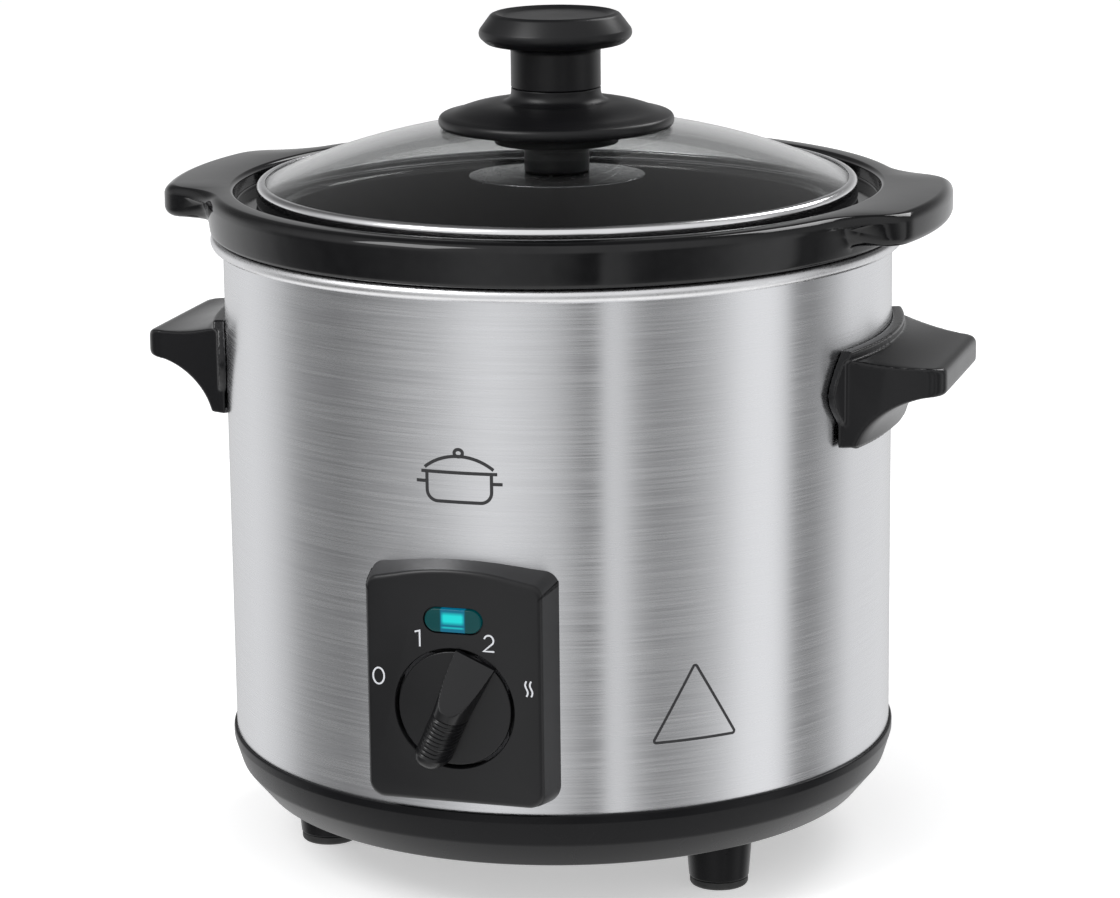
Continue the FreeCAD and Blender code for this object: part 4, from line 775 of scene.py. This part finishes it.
def make_underside():
    """The washer, post and disc that the knob's screw pulls up under the glass."""
    hole = KNOB_HOLE
    seal_low, seal_top = low("lid_seal", "z"), high("lid_seal", "z")
    seal = rounded([(hole, seal_low), (17.5, seal_low, 0.8), (17.5, seal_top, 0.5), (hole, seal_top)])
    finish(turned("lid_washer", seal, segments=96), "lid", "silicone", "lid_seal")
    boss_low, boss_top = low("lid_boss", "z"), high("lid_boss", "z")
    post = rounded([
        (hole, boss_low), (BOSS_RADIUS, boss_low, 0.6), (BOSS_RADIUS, boss_top, 0.3), (hole, boss_top),
    ])
    finish(turned("lid_post", post, segments=96), "lid", "silicone", "lid_boss")
    disc_low, disc_top = low("lid_disc", "z"), high("lid_disc", "z")
    rim, sheet = 24.8, 0.75
    plate = rounded([
        (hole, disc_low + sheet), (BOSS_RADIUS, disc_low + sheet, 0.6), (rim, disc_low, 0.3),
        (rim, disc_low + sheet, 0.3), (BOSS_RADIUS, disc_top, 0.6), (hole, disc_top),
    ])
    # the disc's bright steel is swapped for darkened steel, painted shade for the dark it reflects
    finish(turned("lid_plate", plate, segments=128), "lid", "bright_steel", "lid_disc", look="dark_steel")


# ---- handles and control panel ---------------------------------------------------------------

def handle_pad(seat, bottom, top):
    """Shield against the shell, widest above its middle, with a raised lip along the top."""
    rows, columns = 30, 40
    vertices = []
    for layer in (0, 1):
        for row in range(rows + 1):
            share = row / rows
            half = 27 + 11 * math.sin(min(1.0, share / 0.6) * math.pi / 2) ** 1.4
            half -= 6 * max(0.0, (share - 0.6) / 0.4) ** 1.5
            outer = seat + (3.5 if share > 0.93 else 2.3)
            radius = outer if layer else seat
            for column in range(columns + 1):
                angle = math.asin(half / seat) * (2 * column / columns - 1)
                vertices.append((radius * math.cos(angle), radius * math.sin(angle),
                                 bottom + (top - bottom) * share))
    wide = columns + 1
    layer_size = (rows + 1) * wide
    faces = grid_faces(rows + 1, wide)
    faces += [tuple(layer_size + n for n in face) for face in grid_faces(rows + 1, wide)]
    edge = [n for n in range(wide)] + [r * wide + columns for r in range(1, rows + 1)]
    edge += [rows * wide + n for n in range(columns - 1, -1, -1)]
    edge += [r * wide for r in range(rows - 1, 0, -1)]
    for index, here in enumerate(edge):
        there = edge[(index + 1) % len(edge)]
        faces.append((here, there, there + layer_size, here + layer_size))
    return piece("handle_pad", vertices, faces)


def handle_grip(seat, reach, bottom, top):
    """Flat-sided grip: a cove underneath, a rounded nose and a slightly hollow top."""
    root = seat + 4.1
    profile = [Vector((seat + 0.5, bottom + 1.6))]
    profile += arc((root, bottom + 1.6), (reach - 1.8, bottom + 15.0), 3.6, 20)
    profile += arc((reach - 1.6, bottom + 15.1), (reach, bottom + 16.7), -0.5, 6)
    profile += arc((reach, bottom + 21.2), (reach - 1.6, bottom + 22.8), -0.45, 6)
    profile += arc((reach - 2.0, bottom + 22.9), (root, top - 2.6), 0.7, 20)
    profile += [Vector((seat + 0.5, top - 2.4))]
    root_half, nose_half, corner, steps = 35.0, 25.0, 4.0, 60
    vertices = []
    for number in range(steps + 1):
        share = math.sin(math.pi / 2 * (2 * number / steps - 1))
        inset = max(0.0, abs(share) * nose_half - nose_half + corner)
        limit = reach - corner + math.sqrt(corner ** 2 - inset ** 2)
        for point in profile:
            out = (point.x - seat) / (reach - seat)
            across = share * (root_half + (nose_half - root_half) * out)
            against_shell = math.sqrt(seat ** 2 - across ** 2)
            vertices.append((against_shell + (limit - against_shell) * out, across, point.y))
    count = len(profile)
    faces = grid_faces(steps + 1, count, wrap_columns=True) + end_faces(count, len(vertices))
    return piece("handle_grip", vertices, faces)


def make_handles():
    for side, turn in (("right", 0), ("left", math.pi)):
        node = "handle_" + side
        bottom, top = low(node, "z"), high(node, "z")
        seat = SHELL_RADIUS + 0.1
        reach = high("handle_right", "x")
        grip = joined("grip_" + side, [handle_pad(seat, bottom, top),
                                       handle_grip(seat, reach, bottom, top)])
        grip.data.transform(Matrix.Rotation(turn, 4, "Z"))
        soften(grip, 0.4, 8)
        finish(grip, "housing", "handle_plastic", node)


def panel_corners(inset):
    """Front outline of the panel: straight sides, round corners and an arched top."""
    half = PANEL_HALF - inset
    floor = 38.8 + inset
    shoulder = 99.2 - inset
    radius = max(0.8, 4.5 - inset * 0.6)
    base = rounded([(-half, shoulder - 1, 0), (-half, floor, radius), (half, floor, radius),
                    (half, shoulder - 1, 0)], closed=False, step=9)
    right = rounded([(half, shoulder - 1.2), (half, shoulder + 1.1, radius * 0.8),
                     (half - 8, shoulder + 2.6)], closed=False, step=9)
    top = arc((right[-1].x, right[-1].y), (-right[-1].x, right[-1].y), -1.9, 24)
    left = [Vector((-p.x, p.y)) for p in reversed(right)]
    return base[:-1] + right[:-1] + top[:-1] + left[:-1]


def onto_panel(thing):
    """Stands what was turned flat at the origin up on the panel, where the dial is."""
    thing.data.transform(Matrix.Rotation(math.pi / 2, 4, "X"))
    thing.data.transform(Matrix.Translation(Vector((0, -PANEL_FACE, DIAL_HEIGHT)) * MM))


def make_panel():
    draft = 2.0
    back = 90.0
    eased = 1.3
    rings = [(-draft * 0.9, back), (-draft * 0.3, PANEL_FACE - 4), (0, PANEL_FACE - eased)]
    for number in range(1, 6):
        angle = math.pi / 10 * number
        rings.append((eased * (1 - math.cos(angle)), PANEL_FACE - eased * (1 - math.sin(angle))))
    vertices = []
    for inset, depth in rings:
        vertices += [(p.x, -depth, p.y) for p in panel_corners(inset)]
    count = len(vertices) // len(rings)
    faces = grid_faces(len(rings), count, wrap_columns=True) + end_faces(count, len(vertices))
    block = piece("panel_face", vertices, faces)
    drum = turned("panel_seat_tool", [(0, 20), (SHELL_RADIUS + 0.1, 20),
                                      (SHELL_RADIUS + 0.1, 120), (0, 120)], segments=360)
    recess = DIAL_RADIUS + 0.9
    well = turned("dial_well_tool", rounded([
        (0, -3.2), (recess, -3.2, 0.2), (recess, -0.25), (recess + 0.25, 0.02), (recess + 0.25, 3), (0, 3),
    ]), segments=160)
    onto_panel(well)
    slot = prism("lens_slot_tool", pill(8.4, 3.7, 0, LENS_HEIGHT), PANEL_FACE + 1, PANEL_FACE - 1.4)
    finish(cut(block, drum, well, slot), "housing", "black_plastic", "control_housing", look="panel_plastic")
    lens = prism("lens_window", pill(7.9, 3.2, 0, LENS_HEIGHT), PANEL_FACE + 0.45, PANEL_FACE - 1.3, 0.5)
    finish(lens, "housing", "teal_lens", "indicator_lens")


# ---- dial -----------------------------------------------------------------------------------

DIAL_REST = -24  # degrees that the grip bar is turned at rest


def bar_section(along, reach):
    """Half width and crest height of the dial's grip bar at a distance along it."""
    end = max(0.0, (-along - (reach - 2.4)) / 2.4)
    rounding = math.sqrt(max(0.0, 1 - end * end))
    half = 4.3 + 1.1 * max(0.0, along) / reach
    crest = 10.3
    return half * (0.55 + 0.45 * rounding), crest * (0.72 + 0.28 * rounding)


def make_dial():
    reach = 15.55
    proud = -0.15
    disc = turned("dial_disc", rounded([
        (0, -1.0), (DIAL_RADIUS, -1.0, 0.2), (DIAL_RADIUS, proud, 0.35), (0, proud),
    ]), segments=160)
    stations, around = 150, 40
    ribs_start, ribs_end, rib_pitch = -12.6, -0.6, 1.2
    vertices = []
    for number in range(stations + 1):
        along = -reach + 2 * reach * number / stations
        half, crest = bar_section(along, reach)
        scoop = 10.6 if along < 1.5 else 10.3 - 8.9 * ((along - 1.5) / (reach - 1.5)) ** 0.85
        groove = 0.0
        if ribs_start < along < ribs_end:
            wave = math.cos((along - ribs_end) / rib_pitch * TURN)
            groove = 0.5 * (0.5 - 0.5 * wave) ** 0.6
        for step in range(around + 1):
            angle = math.pi * step / around
            across = math.copysign(abs(math.cos(angle)) ** 0.8, math.cos(angle))
            up = math.sin(angle) ** 0.62
            side = (half - groove * min(1, up * 1.6)) * across * (1.0 + 0.10 * (1 - up))
            height = min((crest - groove) * up, scoop)
            vertices.append((side, along, height if step not in (0, around) else -0.6))
    columns = around + 1
    faces = grid_faces(stations + 1, columns) + end_faces(columns, len(vertices))
    bottom = [(row * columns, (row + 1) * columns, (row + 1) * columns + around, row * columns + around)
              for row in range(stations)]
    bar = piece("dial_bar", vertices, faces + bottom, 28)
    knob = joined("dial_grip", [disc, bar])
    knob.data.transform(Matrix.Rotation(math.radians(DIAL_REST), 4, "Z"))
    onto_panel(knob)
    finish(knob, "dial", "black_plastic", "dial_knob", look="panel_plastic")


# ---- printed marks ----------------------------------------------------------------------------

def stroke(points, width, closed=False):
    """Two edges of a line drawn through points, as quads."""
    count = len(points)
    pairs = []
    for index, here in enumerate(points):
        before = points[index - 1] if closed or index else here
        after = points[(index + 1) % count] if closed or index < count - 1 else here
        first = (here - before).normalized() if here != before else (after - here).normalized()
        second = (after - here).normalized() if here != after else first
        across = Vector((-(first + second).y, (first + second).x)).normalized()
        stretch = 1 / max(0.5, across.dot(Vector((-first.y, first.x))))
        pairs.append((here + across * width / 2 * stretch, here - across * width / 2 * stretch))
    return pairs


def printed(name, lines, width, put, thickness):
    """Lines of print laid on a surface; put turns (x, z, lift) into a place."""
    vertices, faces = [], []
    for points, closed in lines:
        pairs = stroke(points, width, closed)
        start = len(vertices)
        for a, b in pairs:
            for p, lift in ((a, 0), (b, 0), (b, thickness), (a, thickness)):
                vertices.append(put(p.x, p.y, lift))
        count = len(pairs)
        for index in range(count if closed else count - 1):
            here, there = start + index * 4, start + (index + 1) % count * 4
            for side in range(4):
                other = (side + 1) % 4
                faces.append((here + side, here + other, there + other, there + side))
        if not closed:
            faces.append(tuple(start + n for n in range(4)))
            faces.append(tuple(start + (count - 1) * 4 + n for n in range(4)))
    return piece(name, vertices, faces)


def loop(x, z, wide, tall, start=0, end=360, steps=32):
    return [Vector((x + wide * math.cos(math.radians(a)), z + tall * math.sin(math.radians(a))))
            for a in (start + (end - start) * n / steps for n in range(steps + 1))]


def wisp(x, z, tall, lean):
    return [Vector((x + lean * math.sin(t * TURN), z + tall * (t - 0.5)))
            for t in (n / 12 for n in range(13))]


def on_panel(x, z, lift):
    return (x, -PANEL_FACE - lift - 0.01, DIAL_HEIGHT + z)


def make_panel_marks():
    zero = [(loop(-21.2, 7.7, 1.55, 2.25)[:-1], True)]
    one = [([Vector((-10.8, 20.7)), Vector((-9.4, 21.1)), Vector((-9.4, 16.7))], False)]
    two_top = loop(9.9, 19.6, 1.3, 1.4, 165, -35, 20)
    two = [(two_top + [Vector((8.45, 16.6)), Vector((11.4, 16.6))], False)]
    warm = [(wisp(20.2, 7.0, 4.3, 0.36), False), (wisp(21.5, 7.0, 4.3, 0.36), False)]
    for name, lines in (("mark_zero", zero), ("mark_one", one), ("mark_two", two), ("mark_warm", warm)):
        mark = printed(name, lines, 0.46, on_panel, 0.05)
        finish(mark, "housing", "black_plastic", look="printed_grey")


def on_shell(bearing, height):
    """Place on the steel: bearing in degrees round from the front, x and z in millimetres."""
    def put(x, z, lift):
        angle = math.radians(bearing - 90) + x / SHELL_RADIUS
        radius = SHELL_RADIUS + 0.01 + lift
        return (radius * math.cos(angle), radius * math.sin(angle), height + z)
    return put


def fine(points, closed=False, gap=0.6):
    """The same line with points close enough together to bend round the shell."""
    out = []
    count = len(points)
    for index in range(count if closed else count - 1):
        a, b = points[index], points[(index + 1) % count]
        steps = max(1, math.ceil((b - a).length / gap))
        out += [a.lerp(b, n / steps) for n in range(steps)]
    return out if closed else out + [points[-1]]


def make_shell_marks():
    """A plain pot over the panel and a plain triangle to its right."""
    pot = rounded([(-9, 1.5), (-9, -6.5, 3.0), (9, -6.5, 3.0), (9, 1.5)], closed=False)
    lid = arc((-9.6, 2.6), (9.6, 2.6), 3.4, 20)
    lines = [(fine(pot), False), (fine([Vector((-10.6, 1.5)), Vector((10.6, 1.5))]), False),
             (lid, False), (loop(0, 6.9, 1.15, 1.0)[:-1], True),
             (fine([Vector((-9, -1.2)), Vector((-12, -1.2))]), False),
             (fine([Vector((9, -1.2)), Vector((12, -1.2))]), False)]
    badge = printed("pot_badge", lines, 0.9, on_shell(0, 127), 0.03)
    finish(badge, "housing", "shell_steel", look="printed_black")
    side = rounded([(-12.3, -9.9, 0.6), (12.3, -9.9, 0.6), (0, 11.4, 0.6)])
    triangle = printed("plain_triangle", [(fine(side, True), True)], 0.75, on_shell(38.6, 63), 0.03)
    finish(triangle, "housing", "shell_steel", look="printed_black")


# ---- studio ---------------------------------------------------------------------------------

CAMERA_TURN = 16.5
CAMERA_OUT = 1.12426
CAMERA_UP = 0.3811
CAMERA_PITCH = 13.412
CAMERA_ROLL = -0.637
CAMERA_LENS = 128.9
BANDS = [  # degrees round from the camera's side, brightness
    (-180, 0.60), (-131, 0.86), (-120, 0.80), (-110, 0.62), (-103, 0.40), (-95, 0.27),
    (-80, 0.19), (-66, 0.26), (-53, 0.38), (-42, 0.53), (-31, 0.76), (-22, 0.84),
    (-12, 0.75), (-3, 0.62), (3, 0.44), (8, 0.22), (13, 0.18), (15, 0.88),
    (21, 0.74), (26, 0.38), (32, 0.24), (43, 0.34), (54, 0.58), (65, 0.94),
    (77, 1.04), (83, 0.86), (87, 0.28), (95, 0.25), (103, 0.42), (118, 0.84),
    (145, 0.84), (180, 0.60),
]
CEILING = [(-180, 0.10), (-140, 0.16), (-105, 0.6), (-70, 0.95), (0, 0.9), (70, 0.8), (115, 0.3), (180, 0.10)]


def make_camera():
    pitch, roll, turn = (math.radians(a) for a in (CAMERA_PITCH, CAMERA_ROLL, CAMERA_TURN))
    spin = Matrix.Rotation(turn, 4, "Z")
    aim = Matrix.Rotation(math.pi / 2 - pitch, 4, "X") @ Matrix.Rotation(roll, 4, "Z")
    data = bpy.data.cameras.new("camera")
    data.lens = CAMERA_LENS
    data.sensor_width = 36
    data.sensor_fit = "HORIZONTAL"
    data.clip_end = 50
    camera = bpy.data.objects.new("camera", data)
    camera.matrix_world = spin @ Matrix.Translation((0, -CAMERA_OUT, CAMERA_UP)) @ aim
    bpy.context.scene.collection.objects.link(camera)
    bpy.context.scene.camera = camera


def light_ramp(tree, share, lights, green, blue):
    """Light by bearing, from (degrees, brightness) in order; green and blue as shares of red."""
    ramp = tree.nodes.new("ShaderNodeValToRGB")
    stops = ramp.color_ramp.elements
    for index, (bearing, light) in enumerate(lights):
        position = (bearing + 180) / 360
        if index < 2:
            stops[index].position = position
            stop = stops[index]
        else:
            stop = stops.new(position)
        stop.color = (light, light * green, light * blue, 1)
    plug(tree, share, ramp.inputs["Fac"])
    return ramp.outputs["Color"]


def ease(tree, value, start, end):
    """From 0 at start to 1 at end, smoothly."""
    span = tree.nodes.new("ShaderNodeMapRange")
    span.interpolation_type = "SMOOTHSTEP"
    span.inputs["From Min"].default_value = start
    span.inputs["From Max"].default_value = end
    plug(tree, value, span.inputs["Value"])
    return span.outputs["Result"]


def make_world():
    """Upright bands of light round the object, a ceiling, bright ground, and white to the camera."""
    world = bpy.data.worlds.new("studio")
    bpy.context.scene.world = world
    world.use_nodes = True
    tree = world.node_tree
    turned_to = tree.nodes.new("ShaderNodeVectorRotate")
    turned_to.rotation_type = "Z_AXIS"
    turned_to.inputs["Angle"].default_value = math.radians(90 - CAMERA_TURN)
    plug(tree, tree.nodes.new("ShaderNodeTexCoord").outputs["Generated"], turned_to.inputs["Vector"])
    axes = tree.nodes.new("ShaderNodeSeparateXYZ")
    plug(tree, turned_to.outputs["Vector"], axes.inputs["Vector"])
    share = tree.nodes.new("ShaderNodeMapRange")
    share.inputs["From Min"].default_value = -math.pi
    share.inputs["From Max"].default_value = math.pi
    plug(tree, maths(tree, "ARCTAN2", axes.outputs["Y"], axes.outputs["X"]), share.inputs["Value"])
    bearing = share.outputs["Result"]
    bands = light_ramp(tree, bearing, BANDS, 1.003, 1.012)
    ceiling = light_ramp(tree, bearing, CEILING, 1.0, 1.01)
    light = mixed(tree, ease(tree, axes.outputs["Z"], -0.02, 0.40), bands, ceiling)
    light = mixed(tree, ease(tree, axes.outputs["Z"], -0.40, -0.75), light, (1.1, 1.1, 1.1, 1))
    camera_ray = tree.nodes.new("ShaderNodeLightPath").outputs["Is Camera Ray"]
    light = mixed(tree, camera_ray, light, (1, 1, 1, 1))
    plug(tree, light, tree.nodes["Background"].inputs["Color"])


def make_lights():
    for name, spot, size, power in (("key", (-0.9, -1.0, 1.5), 0.9, 14.0),
                                    ("back", (0.6, 1.1, 1.3), 0.8, 9.0)):
        data = bpy.data.lights.new(name, "AREA")
        data.size = size
        data.energy = power
        lamp = bpy.data.objects.new(name, data)
        lamp.location = spot
        aim = Vector((0, 0, 0.1)) - lamp.location
        lamp.rotation_euler = aim.to_track_quat("-Z", "Y").to_euler()
        bpy.context.scene.collection.objects.link(lamp)


def make_floor():
    side = 8000
    steps = 24
    points = [(side * (a / steps - 0.5) * 2, side * (b / steps - 0.5) * 2, 0)
              for a in range(steps + 1) for b in range(steps + 1)]
    floor = piece("floor", points, grid_faces(steps + 1, steps + 1))
    shade = Shade("white_floor", (0.90, 0.90, 0.90), 0.55)
    shade.roughen(shade.noise(30), 0.5, 0.6)
    shade.shader.inputs["Emission Color"].default_value = (1, 1, 1, 1)
    shade.shader.inputs["Emission Strength"].default_value = 0.46
    floor.data.materials.append(shade.material)
    floor.visible_glossy = False


bpy.context.scene.view_settings.view_transform = "Standard"
make_camera()
make_world()
make_lights()
make_floor()
make_shell()
make_liner()
make_base()
make_feet()
make_crock()
make_lid()
make_handles()
make_panel()
make_dial()
make_panel_marks()
make_shell_marks()
